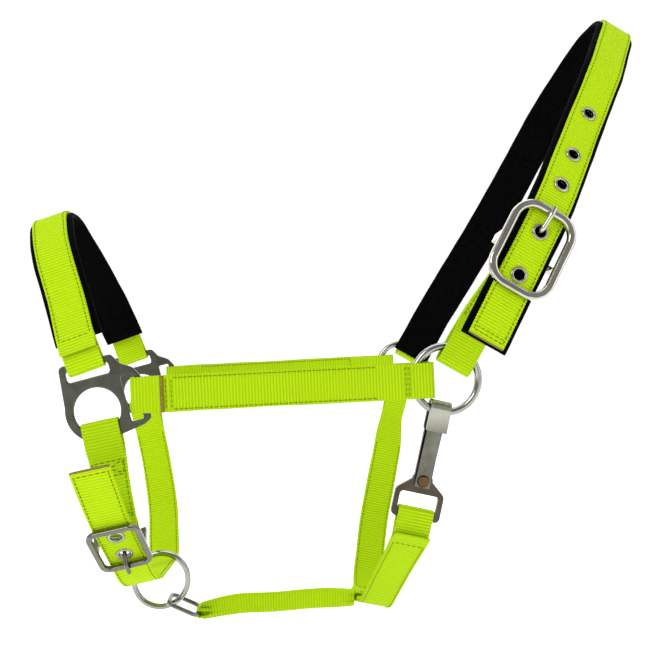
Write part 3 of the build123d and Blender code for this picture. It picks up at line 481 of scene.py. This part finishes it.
def strap_profile(along, T, W=25.4, fine=False, rib=0.075, rows=True, pitch=2.1, wfun=None, soft=0.0):
    """Cross-sections of ribbed webbing T thick, one per station."""
    ws = PROF_FINE if fine else PROF_WS
    k = W / 25.4
    half = [w * k for w in ws]
    top = half[:-1] + ([half[-1], -half[-1]] if half[-1] else [0.0]) + [-w for w in half[:-1]][::-1]
    e = W / 2
    h = T / 2
    pts = [(e, -h * 0.42), (e, h * 0.42)] + [(w, h) for w in top] + [(-e, h * 0.42), (-e, -h * 0.42)] + [(w, -h) for w in top[::-1]]
    base = np.array(pts)
    n = len(along)
    pr = np.repeat(base[None], n, 0)
    ph = 2 * pi * along / pitch
    r = rib * np.cos(ph)
    lip = np.where(np.abs(base[:, 0]) > e - 0.9, 0.35, 1.0)
    groove = 0.0
    if rows:
        groove = -0.16 * np.exp(-((np.abs(base[:, 0]) - (e - 2.2)) / 0.7) ** 2)
    sgn = np.sign(base[:, 1])
    pr[..., 1] += sgn[None] * (r[:, None] * lip[None] + groove)
    onedge = np.abs(base[:, 0]) >= e - 1e-6
    pr[:, onedge, 0] += np.sign(base[onedge, 0])[None] * (0.13 * np.cos(ph + 0.5))[:, None]
    # slow wander of the selvedges and a slight pucker between the seams
    wand = -0.46 + 0.16 * np.sin(along / 17.0 + 0.7) + 0.10 * np.sin(along / 7.3)
    pr[..., 0] += np.sign(base[:, 0])[None] * wand[:, None] * (np.abs(base[:, 0]) / e)[None] ** 2
    if soft:
        pk = soft * np.sin(2 * pi * along / 6.4)
        pr[..., 1] += pk[:, None] * np.clip(1 - (np.abs(base[:, 0]) / e) ** 2, 0, 1)[None]
    if wfun is not None:
        pr[..., 0] *= wfun(along)[:, None]
    return pr


def webbing(name, flat, pts, rad, T, mats=None, W=25.4, fine=False, holes=(), ends=(0.9, 0.9), wfun=None, step=0.525):
    path, along = rounded(pts, rad, step)
    t, nr = normals2(path)
    P, H = flat.p(path), flat.v(nr)
    Wd = np.repeat(flat.n[None], len(P), 0)
    pr = strap_profile(along, T, W, fine, wfun=wfun)
    return loft(name, P, Wd, H, pr, along, mats or [web_a, melt], 0, ends, holes)


class Seam:
    """Stitches laid on a strap's surface, in (along, across) millimetres."""

    def __init__(self, flat, pts, rad, lift):
        self.flat = flat
        self.path, self.s = rounded(pts, rad, 0.4)
        self.t, self.n = normals2(self.path)
        self.lift = lift
        self.V, self.F = [], []

    def at(self, s, w, h):
        x = np.interp(s, self.s, self.path[:, 0])
        y = np.interp(s, self.s, self.path[:, 1])
        nx = np.interp(s, self.s, self.n[:, 0])
        ny = np.interp(s, self.s, self.n[:, 1])
        over = s - min(max(s, 0.0), self.s[-1])
        if over:                         # straight on past either end
            tx, ty = self.t[0 if over < 0 else -1]
            x, y = x + tx * over, y + ty * over
        return self.flat.p((x, y))[0] + self.flat.v((nx, ny))[0] * h + self.flat.n * w

    def line(self, a, b, pitch=3.3, length=2.75, r=0.27, side=1):
        a, b = np.array(a, float), np.array(b, float)
        dist = np.linalg.norm(b - a)
        k = max(1, int(dist / pitch))
        u = (b - a) / max(dist, 1e-6)
        for q in range(k):
            c = a + u * (q + 0.5) * dist / k
            self.one(c - u * length / 2, c + u * length / 2, r, side)

    def one(self, a, b, r, side):
        rings = []
        for f, rr, dz in ((0, 0.3, -0.34), (0.10, 0.8, -0.06), (0.3, 1, 0.05), (0.7, 1, 0.05), (0.90, 0.8, -0.06), (1, 0.3, -0.34)):
            p = a + (b - a) * f
            rings.append((self.at(p[0], p[1], side * (self.lift + dz)), rr * r))
        ax = rings[-1][0] - rings[0][0]
        ax = ax / np.linalg.norm(ax)
        s = (a[0] + b[0]) / 2
        up = self.flat.v((np.interp(s, self.s, self.n[:, 0]), np.interp(s, self.s, self.n[:, 1])))[0] * side
        lat = np.cross(ax, up)
        lat /= np.linalg.norm(lat)
        up = np.cross(lat, ax)
        base = len(self.V)
        m = 6
        for c, rr in rings:
            for g in range(m):
                an = 2 * pi * g / m
                self.V.append(c + lat * cos(an) * rr + up * sin(an) * rr)
        for i in range(len(rings) - 1):
            for g in range(m):
                h = (g + 1) % m
                self.F.append([base + i * m + g, base + (i + 1) * m + g, base + (i + 1) * m + h, base + i * m + h])
        self.F.append([base + g for g in range(m)])
        self.F.append([base + (len(rings) - 1) * m + g for g in range(m)][::-1])

    def rows(self, s0, s1, w=10.5, **k):
        self.line((s0, w), (s1, w), **k)
        self.line((s0, -w), (s1, -w), **k)

    def box(self, s0, s1, w=9.6, **k):
        for a, b in (((s0, -w), (s0, w)), ((s1, -w), (s1, w)), ((s0, w), (s1, w)), ((s0, -w), (s1, -w)),
                     ((s0 + 1, -w + 1), (s1 - 1, w - 1)), ((s0 + 1, w - 1), (s1 - 1, -w + 1))):
            self.line(a, b, **k)

    def make(self, name, mat):
        return mesh_object(name, np.array(self.V), self.F, [mat])


def lathe(name, flat_o, axis, prof, mat, seg=64, closed=True):
    """Closed profile of (radius, height) turned about axis at flat_o."""
    axis = np.array(axis, float)
    axis /= np.linalg.norm(axis)
    a = np.cross(axis, (0.3, 0.1, 0.95) if abs(axis[2]) < 0.9 else (1, 0, 0))
    a /= np.linalg.norm(a)
    b = np.cross(axis, a)
    V, F = [], []
    m = len(prof)
    for i in range(seg):
        an = 2 * pi * i / seg
        rd = a * cos(an) + b * sin(an)
        for r, h in prof:
            V.append(np.array(flat_o) + rd * r + axis * h)
    for i in range(seg):
        k = (i + 1) % seg
        for j in range(m):
            q = (j + 1) % m
            F.append([i * m + j, k * m + j, k * m + q, i * m + q])
    return V, F


def put(ob, body, slot, *replaced):
    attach(ob, body)
    if replaced:
        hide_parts(*replaced)
    return ob


def padding(name, flat, pts, rad, T, W, body, node, seam_w=10.5, skip=()):
    """Neoprene lining: a soft strip, pinched along its two seams, round-edged."""
    path, along = rounded(pts, rad, 1.2)
    t, nr = normals2(path)
    P, H = flat.p(path), flat.v(nr)
    e, h = W / 2, T / 2
    w = [14.6, 13.2, 11.8, 10.5, 9.2, 7.0, 4.5, 2.2, 0.0]
    w = w + [-x for x in w[:-1]][::-1]
    base = []
    for an in np.linspace(-70, 70, 7):
        base.append((e - 1.6 + 1.6 * cos(radians(an)), h * 0.86 * sin(radians(an))))
    base += [(x, h) for x in w]
    for an in np.linspace(110, 250, 7):
        base.append((-e + 1.6 + 1.6 * cos(radians(an)), h * 0.86 * sin(radians(an))))
    base += [(x, -h) for x in w[::-1]]
    base = np.array(base)
    pr = np.repeat(base[None], len(along), 0)
    pinch = np.exp(-((np.abs(base[:, 0]) - seam_w) / 1.5) ** 2)
    # the inner face swells between the seams, and each stitch pulls it down
    beat = 0.5 + 0.5 * np.cos(2 * pi * along / 3.3)
    inner = base[:, 1] < 0
    crown = 0.25 * np.clip(1 - (base[:, 0] / seam_w) ** 2, 0, 1)
    pr[..., 1] += np.where(inner, 1, 0)[None] * (pinch[None] * (0.55 + 0.35 * beat[:, None]) - crown[None] * 0.6)
    pr[..., 1] *= 1 + 0.02 * np.sin(along / 9.0)[:, None]
    pr[..., 0] *= 1 + 0.006 * np.sin(along / 13.0 + 1.0)[:, None] + 0.004 * np.sin(along / 4.1)[:, None]
    # rounded ends
    for q, sgn in ((along - along[0], 1), (along[-1] - along, 1)):
        k = np.clip(q / 2.4, 0, 1)
        k = np.sqrt(1 - (1 - k) ** 2) * 0.75 + 0.25
        pr[..., 1] *= k[:, None]
    Wd = np.repeat(flat.n[None], len(P), 0)
    ob = loft(name, P, Wd, H, pr, along, [neoprene])
    put(ob, body, "neoprene", node)
    return ob


# --------------------------------------------------------------- crown strap
crown = Flat((RX, 0, RZ), (0, 1, 0), (sl, 0, cl))
CROWN_PTS = [(-124.5, 30), (-108.5, 134), (-77, 206), (-55, 260), (-20, 317.25),
             (28, 317.25), (59, 266), (54, 160), (82, 47)]
CROWN_RAD = [160, 260, 70, 34, 34, 90, 200]
BDIR = unit(CROWN_PTS[0], CROWN_PTS[1])
BOUT = (-BDIR[1], BDIR[0])
BC = (CROWN_PTS[0][0] + BDIR[0] * 67, CROWN_PTS[0][1] + BDIR[1] * 67)
D2, D3 = unit(CROWN_PTS[1], CROWN_PTS[2]), unit(CROWN_PTS[2], CROWN_PTS[3])
eyes = []
for base, d, k in ((BC, BDIR, -18.5), (BC, BDIR, 14.0), (CROWN_PTS[1], D2, 14.5), (CROWN_PTS[1], D2, 43.5), (CROWN_PTS[2], D3, 6.5)):
    p = (base[0] + d[0] * k, base[1] + d[1] * k)
    eyes.append((crown.p(p)[0], crown.v((-d[1], d[0]))[0]))

lp = loop((RING_HALF, RING_R), (0, -1), 3.45, 13.8, 24, 9, 0.6)
P, R = strap_path(CROWN_PTS, CROWN_RAD, 0.6, None, lp)
holes = [(c, a, 4.05, 6.8, 3.8) for c, a in eyes]
ob = webbing("crown_webbing", crown, P, R, 1.10, fine=True, holes=holes, ends=(0.35, 0.35))
put(ob, "crown", "webbing", "crown_strap")

mid = rounded(CROWN_PTS, CROWN_RAD, 0.4)[1][-1]
sm = Seam(crown, CROWN_PTS, CROWN_RAD, 1.2)
sm.rows(30, mid - 30)
sm.line((3.2, -10.2), (3.2, 10.2))
sm.line((6.0, -10.2), (6.0, 10.2))
sm.rows(3.2, 30)
sm.box(mid - 27, mid - 8, 9.2)
ob = sm.make("crown_stitching", thread)
put(ob, "crown", "webbing")
sm = Seam(crown, CROWN_PTS, CROWN_RAD, 5.05)
sm.rows(5, mid - 16, side=-1)
ob = sm.make("crown_lining_stitching", thread_dark)
put(ob, "crown", "webbing")

pp, pr_ = offset_path([(CROWN_PTS[0][0] - BDIR[0] * 1.0, CROWN_PTS[0][1] - BDIR[1] * 1.0)] + CROWN_PTS[1:-1] + [(81, 46)], CROWN_RAD, -3.3)
pp = pp[:-1] + [(pp[-1][0] - 2.2, pp[-1][1] + 8.0), (74.9, 34.5), (74.9, 12.0)]
pr_ = pr_ + [40, 20]
padding("crown_lining", crown, pp, pr_, 3.9, 32.0, "crown", "crown_padding")

EYE_PROF = [(3.62, -1.2), (3.58, 0.2), (3.66, 0.62), (3.95, 0.92), (4.4, 1.02), (4.95, 0.95), (5.35, 0.66), (5.5, 0.25), (5.45, -0.08), (4.2, -0.05), (4.1, -1.2)]
V, F = [], []
for c, a in eyes:
    v, f = lathe("e", c + a * 1.27, a, EYE_PROF, nickel_eye, 48)
    F += [[k + len(V) for k in q] for q in f]
    V += v
ob = mesh_object("crown_eyelet_set", np.array(V), [q[::-1] for q in F], [nickel_eye])
put(ob, "crown", "polished_nickel", "crown_eyelets")

# buckle strap from the near ring up to the buckle's centre bar
BAR_DEPTH = 1.2 + 0.05 + 4.0 + 0.3 + 1.6 + 0.3 + 2.0
CB = (BC[0] - BOUT[0] * BAR_DEPTH, BC[1] - BOUT[1] * BAR_DEPTH)
BS_LO = (-83.5, 46.0)
bs = unit(BS_LO, CB)
la = loop((-RING_HALF, RING_R), (0, -1), 3.8, 13.8, 24, 9, 0.8)
lb = loop(CB, bs, 3.15, 3.15, 13, 3.0, 0.8)
pts = [(-82, 44.5), (-83.2, 50), (CB[0] - bs[0] * 11, CB[1] - bs[1] * 11)]
P, R = strap_path(pts, [12], 0.8, la, lb, 6.0)
ob = webbing("crown_buckle_webbing", crown, P, R, 1.42, [web_b, melt], ends=(0, 0))
put(ob, "crown", "webbing", "crown_buckle_strap")
ln = rounded(pts, [12], 0.4)[1][-1]
sm = Seam(crown, pts, [12], 1.62)
sm.rows(0, ln - 6)
sm.line((3.5, -9.5), (3.5, 9.5))
sm.line((ln - 7, -9.5), (ln - 7, 9.5))
ob = sm.make("crown_buckle_stitching", thread)
put(ob, "crown", "webbing")

# ------------------------------------------------------------------ noseband


def sq_point(u, v):
    return (HX + u * ct - v * st, HZ + u * st + v * ct)


bx, bz = sq_point(0.3, 32.15)
cn, sn = cos(radians(20.0)), sin(radians(20.0))
nose = Flat((bx, 0, bz), (0, 1, 0), (-sn, 0, cn))
NOSE_PTS = [(-76, 22), (-65, 48), (-57, 84), (-31, 113), (-4, 113), (32, 82), (62, 50), (76, 22)]
NOSE_RAD = [60, 60, 24, 26, 100, 60]
la = loop((-76, 0), (0, -1), 2.85, 5.0, 22, 7, 0.6, (11.0, 1.85))
lb = loop((76, 0), (0, -1), 2.85, 5.0, 22, 7, 0.6)
P, R = strap_path(NOSE_PTS, NOSE_RAD, 0.6, la, lb, -14.0)
ob = webbing("noseband_ribbon", nose, P, R, 1.10, ends=(0, 2.0))
put(ob, "headstall", "webbing", "noseband_webbing")
ln = rounded(NOSE_PTS, NOSE_RAD, 0.4)[1][-1]
sm = Seam(nose, NOSE_PTS, NOSE_RAD, 1.2)
sm.rows(-4, ln - 2)
sm.line((-4.0, -9.5), (-4.0, 9.5))
sm.line((ln - 4, -9.5), (ln - 4, 9.5))
sm.line((ln - 22, -9.5), (ln - 22, 9.5))
ob = sm.make("noseband_stitching", thread)
put(ob, "headstall", "webbing")
pl = list(NOSE_PTS)
n0, n1 = unit(pl[0], pl[1]), unit(pl[-1], pl[-2])
pl[0] = (pl[0][0] + n0[0] * 5.5, pl[0][1] + n0[1] * 5.5)
pl[-1] = (pl[-1][0] + n1[0] * 5.5, pl[-1][1] + n1[1] * 5.5)
pp, pr_ = offset_path(pl, NOSE_RAD, -3.3)
pp[0], pp[-1] = (-71, 16.5), (71, 16.5)
padding("noseband_lining", nose, pp, pr_, 3.9, 32.0, "headstall", "noseband_padding")
sm = Seam(nose, pl, NOSE_RAD, 5.05)
ln = sm.s[-1]
sm.rows(4, ln - 4, side=-1)
ob = sm.make("noseband_lining_stitching", thread_dark)
put(ob, "headstall", "webbing")

# --------------------------------------------------------------- cheekpieces
sx, sz = sq_point(30.7, 2.5)
CH_L = hypot(hypot(RX - sx, RZ - sz), RING_HALF - SQ_HALF)
CH_DY = RING_R * (RING_HALF - SQ_HALF) / CH_L
for side, tag in ((-1, "near"), (1, "far")):
    e = np.array((RX - sx, side * (RING_HALF - SQ_HALF), RZ - sz))
    e /= np.linalg.norm(e)
    o = np.array((0.0, side, 0.0))
    o -= e * (o @ e)
    o /= np.linalg.norm(o)
    flat = Flat((sx, side * SQ_HALF, sz), e, o)
    pts = [(21, 0), (60, 0.1), (CH_L - RING_R - 24, CH_DY)]
    la = loop((0, 0), (-1, 0), 2.95, 6.7, 21, 8, 0.8, (14.5, 2.45))
    lb = loop((CH_L - RING_R, CH_DY), (1, 0), 3.8, 13.8, 24, 9, 0.8)
    P, R = strap_path(pts, [300], 0.8, la, lb, -12.0)
    ob = webbing(tag + "_cheek_webbing", flat, P, R, 1.42, [web_b, melt], ends=(0, 2.2))
    put(ob, "headstall", "webbing", tag + "_cheekpiece")
    sm = Seam(flat, pts, [300], 1.62)
    ln = sm.s[-1]
    sm.rows(0, ln - 1)
    sm.line((-4.8, -10.0), (-4.8, 10.0))
    sm.line((-2.2 + 1.0, -10.0), (-1.2, 10.0))
    ob = sm.make(tag + "_cheek_stitching", thread)
    put(ob, "headstall", "webbing")
    sm = Seam(flat, pts, [300], 3.8 + 0.71 + 0.10)
    sm.line((ln + 18.6, -10.4), (ln + 18.6, 10.4))
    sm.line((ln + 20.8, -10.4), (ln + 20.8, 10.4))
    ob = sm.make(tag + "_cheek_loop_stitching", thread)
    put(ob, "headstall", "webbing")
    sm = Seam(flat, pts, [300], 1.62)
    sm.rows(2, ln - 1, side=-1)
    sm.line((ln - 1.5, -10.0), (ln - 1.5, 10.0), side=-1)
    ob = sm.make(tag + "_cheek_inner_stitching", thread)
    put(ob, "headstall", "webbing")

# -------------------------------------------------------------- throat strap
tax, taz = -sin(radians(12.5)), -cos(radians(12.5))
throat = Flat((RX, 0, RZ), (0, 1, 0), (tax, 0, taz))
SNAP_Y = -RING_HALF + 2.5 + 0.5 + 1.5
THR_PTS = [(SNAP_Y, 114), (-50, 143), (-14, 184.5), (32, 183), (62, 136), (70, 76), (81.5, 47.5)]
THR_RAD = [60, 34, 34, 60, 60]
la = loop((SNAP_Y, 95.0), (0, -1), 2.7, 4.6, 17, 6, 0.8, (15.5, 2.45))
lb = loop((RING_HALF, RING_R), (0, -1), 3.8, 22.5 - 15.4, 24, 10, 0.8)
P, R = strap_path(THR_PTS, THR_RAD, 0.8, la, lb, -9.0)
path_len = rounded(P, R, 0.525)[1][-1]
outer_len = rounded(offset_path(THR_PTS, THR_RAD, 0.8)[0], offset_path(THR_PTS, THR_RAD, 0.8)[1], 0.5)[1][-1]


def ring_gather(s):
    """The webbing is drawn in where it goes through the far ring."""
    d = np.abs(s - (outer_len + 9.0 + 31.0 + 7.0))
    k = np.clip((62.0 - d) / 34.0, 0, 1)
    return 1 - 0.22 * k * k * (3 - 2 * k)


ob = webbing("throat_webbing", throat, P, R, 1.42, [web_b, melt], ends=(0, 2.2), wfun=ring_gather)
put(ob, "headstall", "webbing", "throat_strap")
sm = Seam(throat, THR_PTS, THR_RAD, 1.62)
ln = sm.s[-1]
sm.rows(1, ln - 24)
sm.line((1.2, -9.6), (1.2, 9.6))
sm.line((ln - 25, -9.2), (ln - 25, 9.2))
ob = sm.make("throat_stitching", thread)
put(ob, "headstall", "webbing")
sm = Seam(throat, THR_PTS, THR_RAD, 1.62)
sm.rows(4, ln - 24, side=-1)
ob = sm.make("throat_inner_stitching", thread)
put(ob, "headstall", "webbing")

# ---------------------------------------------------------------- chin strap
ca, sa = cos(radians(12.0)), sin(radians(12.0))
chin = Flat((HX, 0, HZ), (0, 1, 0), (sa, 0, -ca))
RIM_C = 18.25
CHIN_PTS = [(-120.5, 31), (-104.6, 65.6), (-60.35, 124.6), (26, 134.6), (68, 98), (76, 56), (76, 35)]
CHIN_RAD = [60, 40, 28, 60, 60]
CDIR = unit(CHIN_PTS[1], CHIN_PTS[2])
COUT = (-CDIR[1], CDIR[0])
CBC = (CHIN_PTS[1][0] + CDIR[0] * 26.0, CHIN_PTS[1][1] + CDIR[1] * 26.0)
ceyes = []
for k in (-8.5, 9.8):
    p = (CBC[0] + CDIR[0] * k, CBC[1] + CDIR[1] * k)
    ceyes.append((chin.p(p)[0], chin.v(COUT)[0]))
lb = loop((76, RIM_C), (0, -1), 2.9, RIM_C - 7.3, 16.5, 6.5, 0.6)
P, R = strap_path(CHIN_PTS, CHIN_RAD, 0.6, None, lb)
holes = [(c, a, 4.05, 6.8, 3.8) for c, a in ceyes]
ob = webbing("chin_webbing", chin, P, R, 1.10, fine=True, holes=holes, ends=(0.5, 0.5))
put(ob, "headstall", "webbing", "chin_strap")
sm = Seam(chin, CHIN_PTS, CHIN_RAD, 1.2)
ln = sm.s[-1]
sm.rows(2.5, ln - 3)
sm.line((3.5, -9.6), (3.5, 9.6))
sm.line((ln - 4, -9.6), (ln - 4, 9.6))
sm.line((ln - 16, -9.6), (ln - 16, 9.6))
ob = sm.make("chin_stitching", thread)
put(ob, "headstall", "webbing")
sm = Seam(chin, CHIN_PTS, CHIN_RAD, 1.2)
sm.rows(2.5, ln - 3, side=-1)
ob = sm.make("chin_inner_stitching", thread)
put(ob, "headstall", "webbing")
V, F = [], []
for c, a in ceyes:
    for sg in (1, -1):
        v, f = lathe("e", c + a * sg * 1.27, a * sg, EYE_PROF[:0] + [(3.62, -1.15), (3.6, 0.1), (3.7, 0.42), (4.1, 0.62), (4.6, 0.62), (5.2, 0.42), (5.45, 0.1), (5.4, -0.1), (4.2, -0.05), (4.1, -1.15)], nickel_eye, 48)
        F += [[k + len(V) for k in q][::-1] for q in f]
        V += v
ob = mesh_object("chin_eyelet_set", np.array(V), F, [nickel_eye])
put(ob, "headstall", "polished_nickel", "chin_strap_eyelets")

CB_DEPTH = 1.2 + 0.9 + 1.6 + 0.3 + 1.7
CCB = (CBC[0] - COUT[0] * CB_DEPTH, CBC[1] - COUT[1] * CB_DEPTH)
KNEE = (-82, 56)
cs = unit(KNEE, CCB)
la = loop((-76, RIM_C), (0, -1), 2.95, RIM_C - 7.3, 15.5, 6.5, 0.8)
lb = loop(CCB, cs, 2.8, 2.8, 11, 3.0, 0.8)
pts = [(-76.2, 33.5), (-78, 41), KNEE, (CCB[0] - cs[0] * 9, CCB[1] - cs[1] * 9)]
P, R = strap_path(pts, [14, 20], 0.8, la, lb, 13.0)
ob = webbing("chin_buckle_webbing", chin, P, R, 1.42, [web_b, melt], ends=(0, 0))
put(ob, "headstall", "webbing", "chin_buckle_strap")
sm = Seam(chin, pts, [14, 20], 1.62)
ln = sm.s[-1]
sm.rows(1, ln - 2)
sm.box(1.5, 11.0, 9.6)
sm.line((ln - 5, -9.6), (ln - 5, 9.6))
ob = sm.make("chin_buckle_stitching", thread)
put(ob, "headstall", "webbing")

# --------------------------------------------------------------------- rings


def torus(name, c, R, r, mat, body, slot, node):
    prof = [(R + r * cos(2 * pi * k / 28), r * sin(2 * pi * k / 28)) for k in range(28)]
    v, f = lathe(name, c, (0, 1, 0), prof, mat, 128)
    ob = mesh_object(name, np.array(v), [q[::-1] for q in f], [mat])
    return put(ob, body, slot, node)


torus("near_ring_wire", (RX, -RING_HALF, RZ), RING_R, RING_WIRE, nickel, "near_ring", "nickel", "near_cheek_ring")
torus("far_ring_wire", (RX, RING_HALF, RZ), RING_R, RING_WIRE, nickel, "far_ring", "nickel", "far_cheek_ring")
crx, crz = HX + 142.5 * sa, HZ - 142.5 * ca
torus("chin_ring_wire", (crx, 0, crz), 20.55, 2.2, nickel, "lead_ring", "nickel", "chin_ring")

# ----------------------------------------------------------------- connector
lkx, lkz = crx + 20.55 * cos(radians(-55)), crz + 20.55 * sin(radians(-55))
LK_IN = 2.2 + 1.4 + 1.65
ex, ez = lkx + (24.0 - LK_IN) * cos(radians(-25)), lkz + (24.0 - LK_IN) * sin(radians(-25))
TQ = 184.5 - 0.7
tbx, tbz = RX + TQ * tax, RZ + TQ * taz
slx = tbx - (WEB_W / 2 + 0.6 + 1.6) * cos(radians(12.5))
slz = tbz + (WEB_W / 2 + 0.6 + 1.6) * sin(radians(12.5))
CON = [(ex + 2.6, ez + 0.3), (ex + 36, ez + 0.5 + 0.30 * (slz - ez) + 2.5), (slx + 0.5, slz)]
path, along = rounded(CON, [120], 0.525)
t2, n2 = normals2(path)
P3 = np.c_[path[:, 0], np.zeros(len(path)), path[:, 1]]
W3 = np.c_[n2[:, 0], np.zeros(len(path)), n2[:, 1]]
H3 = np.repeat(np.array([[0.0, -1.0, 0.0]]), len(path), 0)
# folded webbing: rounded fold above, two selvedges below, pleats at both ends
base = []
for an in np.linspace(-80, 80, 9):
    base.append((6.0 + 1.5 * cos(radians(an)), 1.9 * sin(radians(an))))
tops = [5.0, 3.6, 2.2, 0.8, -0.8, -2.2, -3.6, -5.0, -6.4]
base += [(w, 1.95) for w in tops]
base += [(-7.45, 1.55), (-7.55, 0.9), (-7.1, 0.25), (-6.2, 0.0), (-7.1, -0.25), (-7.55, -0.9), (-7.45, -1.55)]
base += [(w, -1.95) for w in tops[::-1]]
base = np.array(base)
L = along[-1]
g0 = np.clip(1 - along / 26.0, 0, 1) ** 1.5
g1 = np.clip(1 - (L - along) / 20.0, 0, 1) ** 1.5
g = np.maximum(g0, g1)
pr = np.repeat(base[None], len(along), 0)
rib = 0.08 * np.cos(2 * pi * along / 2.1)
pr[..., 1] += np.sign(base[:, 1])[None] * rib[:, None]
ple = np.sin(base[:, 0] * 2 * pi / 4.6 + 0.8) * (np.abs(base[:, 0]) < 6.6)
pr[..., 1] += np.sign(base[:, 1])[None] * ple[None] * (0.75 * g)[:, None]
pr[..., 1] *= (1 + 0.55 * g)[:, None]
pr[..., 0] *= (1 - 0.20 * g)[:, None]
pr[..., 0] += (0.5 * np.sin(along / 11.0))[:, None]
P3[:, 1] += 0.5 * np.sin(along / 16.0) * np.sin(pi * along / L)
ob = loft("connector_webbing", P3, W3, H3, pr, along, [web_b, melt], 0, (0, 0))
put(ob, "headstall", "webbing", "chin_connector")
conn = ob
# wrap round the link's far bar
xz = Flat((0, 0, 0), (1, 0, 0), (0, 0, 1))
dxn = unit((ex + 10, ez + 0.6), (ex, ez))
lp = loop((ex, ez), dxn, 2.75, 0.9, 9.0, 4.5, 2.0)
pts_w, rad_w = lp[0], lp[1][1:-1]
ob = webbing("connector_wrap", xz, pts_w, rad_w, 1.5, [web_b, melt], W=13.0, ends=(0, 0))
put(ob, "headstall", "webbing")
# sleeve round the throat strap
wx = np.array((-taz, 0, tax))
qv = np.array((tax, 0, taz))
slv = Flat((tbx, 8.0, tbz), wx, qv)
hw, ht = 13.3 + 0.75, 2.4 + 0.75
pts_s = [(-hw, 0.4), (-hw, -ht), (hw, -ht), (hw, ht), (-hw, ht), (-hw, -0.2)]
ob = webbing("connector_sleeve", slv, pts_s, [2.2, 2.2, 2.2, 2.2], 1.4, [web_b, melt], W=16.0, ends=(0, 0))
put(ob, "headstall", "webbing")
sm = Seam(slv, [(-hw + 3, -ht), (hw - 3, -ht)], [], 0.75)
sm.line((1.0, -6.0), (2 * hw - 7, -6.0), side=-1)
sm.line((1.0, 6.0), (2 * hw - 7, 6.0), side=-1)
ob = sm.make("connector_sleeve_stitching", thread)
put(ob, "headstall", "webbing")

# ----------------------------------------------- carried-over metal and its finish
finish = {
    "crown_buckle_frame": nickel_frame, "crown_buckle_tongue": nickel_frame,
    "near_square": square_metal, "far_square": square_metal,
    "chin_buckle_frame": dark_frame, "chin_buckle_tongue": dark_frame,
    "chin_link": dark_frame, "snap_body": gun, "snap_leaf": leaf_metal, "snap_rivet": bronze,
}
for n, m in finish.items():
    for s in nodes[n].material_slots:
        s.material = m

# ------------------------------------------------------------- floor and light
fm = Tree("studio_floor")
fn = fm.noise(3.0, 2.0)
fm.link(fm.mix(fn, (0.93, 0.93, 0.93), (0.96, 0.96, 0.96)), fm.bsdf.inputs["Base Color"])
fm.bsdf.inputs["Roughness"].default_value = 0.8
fm.bsdf.inputs["Emission Color"].default_value = (1.0, 1.0, 1.0, 1.0)
fm.bsdf.inputs["Emission Strength"].default_value = 0.40
lo = cad_box[0]
fz = lo[2] - 0.020
me = bpy.data.meshes.new("floor")
N = 14
fx, fy = 40.0, 40.0
me.from_pydata([(-fx, -fy, fz), (fx, -fy, fz), (fx, fy, fz), (-fx, fy, fz)], [], [(0, 1, 2, 3)])
me.materials.append(fm.mat)
floor = bpy.data.objects.new("floor", me)
bpy.context.scene.collection.objects.link(floor)

bpy.context.scene.view_settings.view_transform = "Standard"
world = bpy.data.worlds.new("studio")
bpy.context.scene.world = world
world.use_nodes = True
wt = world.node_tree
bg = wt.nodes["Background"]
tc = wt.nodes.new("ShaderNodeTexCoord")
sp = wt.nodes.new("ShaderNodeSeparateXYZ")
wt.links.new(tc.outputs["Generated"], sp.inputs[0])
mr = wt.nodes.new("ShaderNodeMapRange")
mr.inputs["From Min"].default_value = -0.45
mr.inputs["From Max"].default_value = 0.25
mr.inputs["To Min"].default_value = 0.34
mr.inputs["To Max"].default_value = 1.05
wt.links.new(sp.outputs[1], mr.inputs["Value"])
wt.links.new(mr.outputs["Result"], bg.inputs["Color"])
bg.inputs["Strength"].default_value = 1.0


def area(name, loc, target, size, power, color=(1, 1, 1)):
    li = bpy.data.lights.new(name, "AREA")
    li.shape = "RECTANGLE"
    li.size, li.size_y = size
    li.energy = power
    li.color = color
    ob = bpy.data.objects.new(name, li)
    from mathutils import Vector
    ob.location = loc
    ob.rotation_euler = (Vector(target) - Vector(loc)).to_track_quat("-Z", "Y").to_euler()
    bpy.context.scene.collection.objects.link(ob)
    return ob


mid = (-0.22, 0.0, -0.22)
area("key", (-1.35, -1.25, 0.95), mid, (1.0, 1.0), 19.5)
area("fill", (1.25, -1.0, 0.3), mid, (0.9, 1.2), 7.0)
area("top", (-0.2, 0.2, 1.5), mid, (1.6, 1.6), 13.0)
area("back", (-0.2, 1.5, 0.3), mid, (2.0, 1.2), 6.0)

cam = bpy.data.cameras.new("camera")
cam.sensor_width = 36.0
cam.lens = 693.4 / 650.0 * 36.0
co = bpy.data.objects.new("camera", cam)
co.location = (-0.26710, -0.5472, -0.24137)
co.rotation_euler = (radians(90.74), 0, radians(-3.95))
bpy.context.scene.collection.objects.link(co)
bpy.context.scene.camera = co
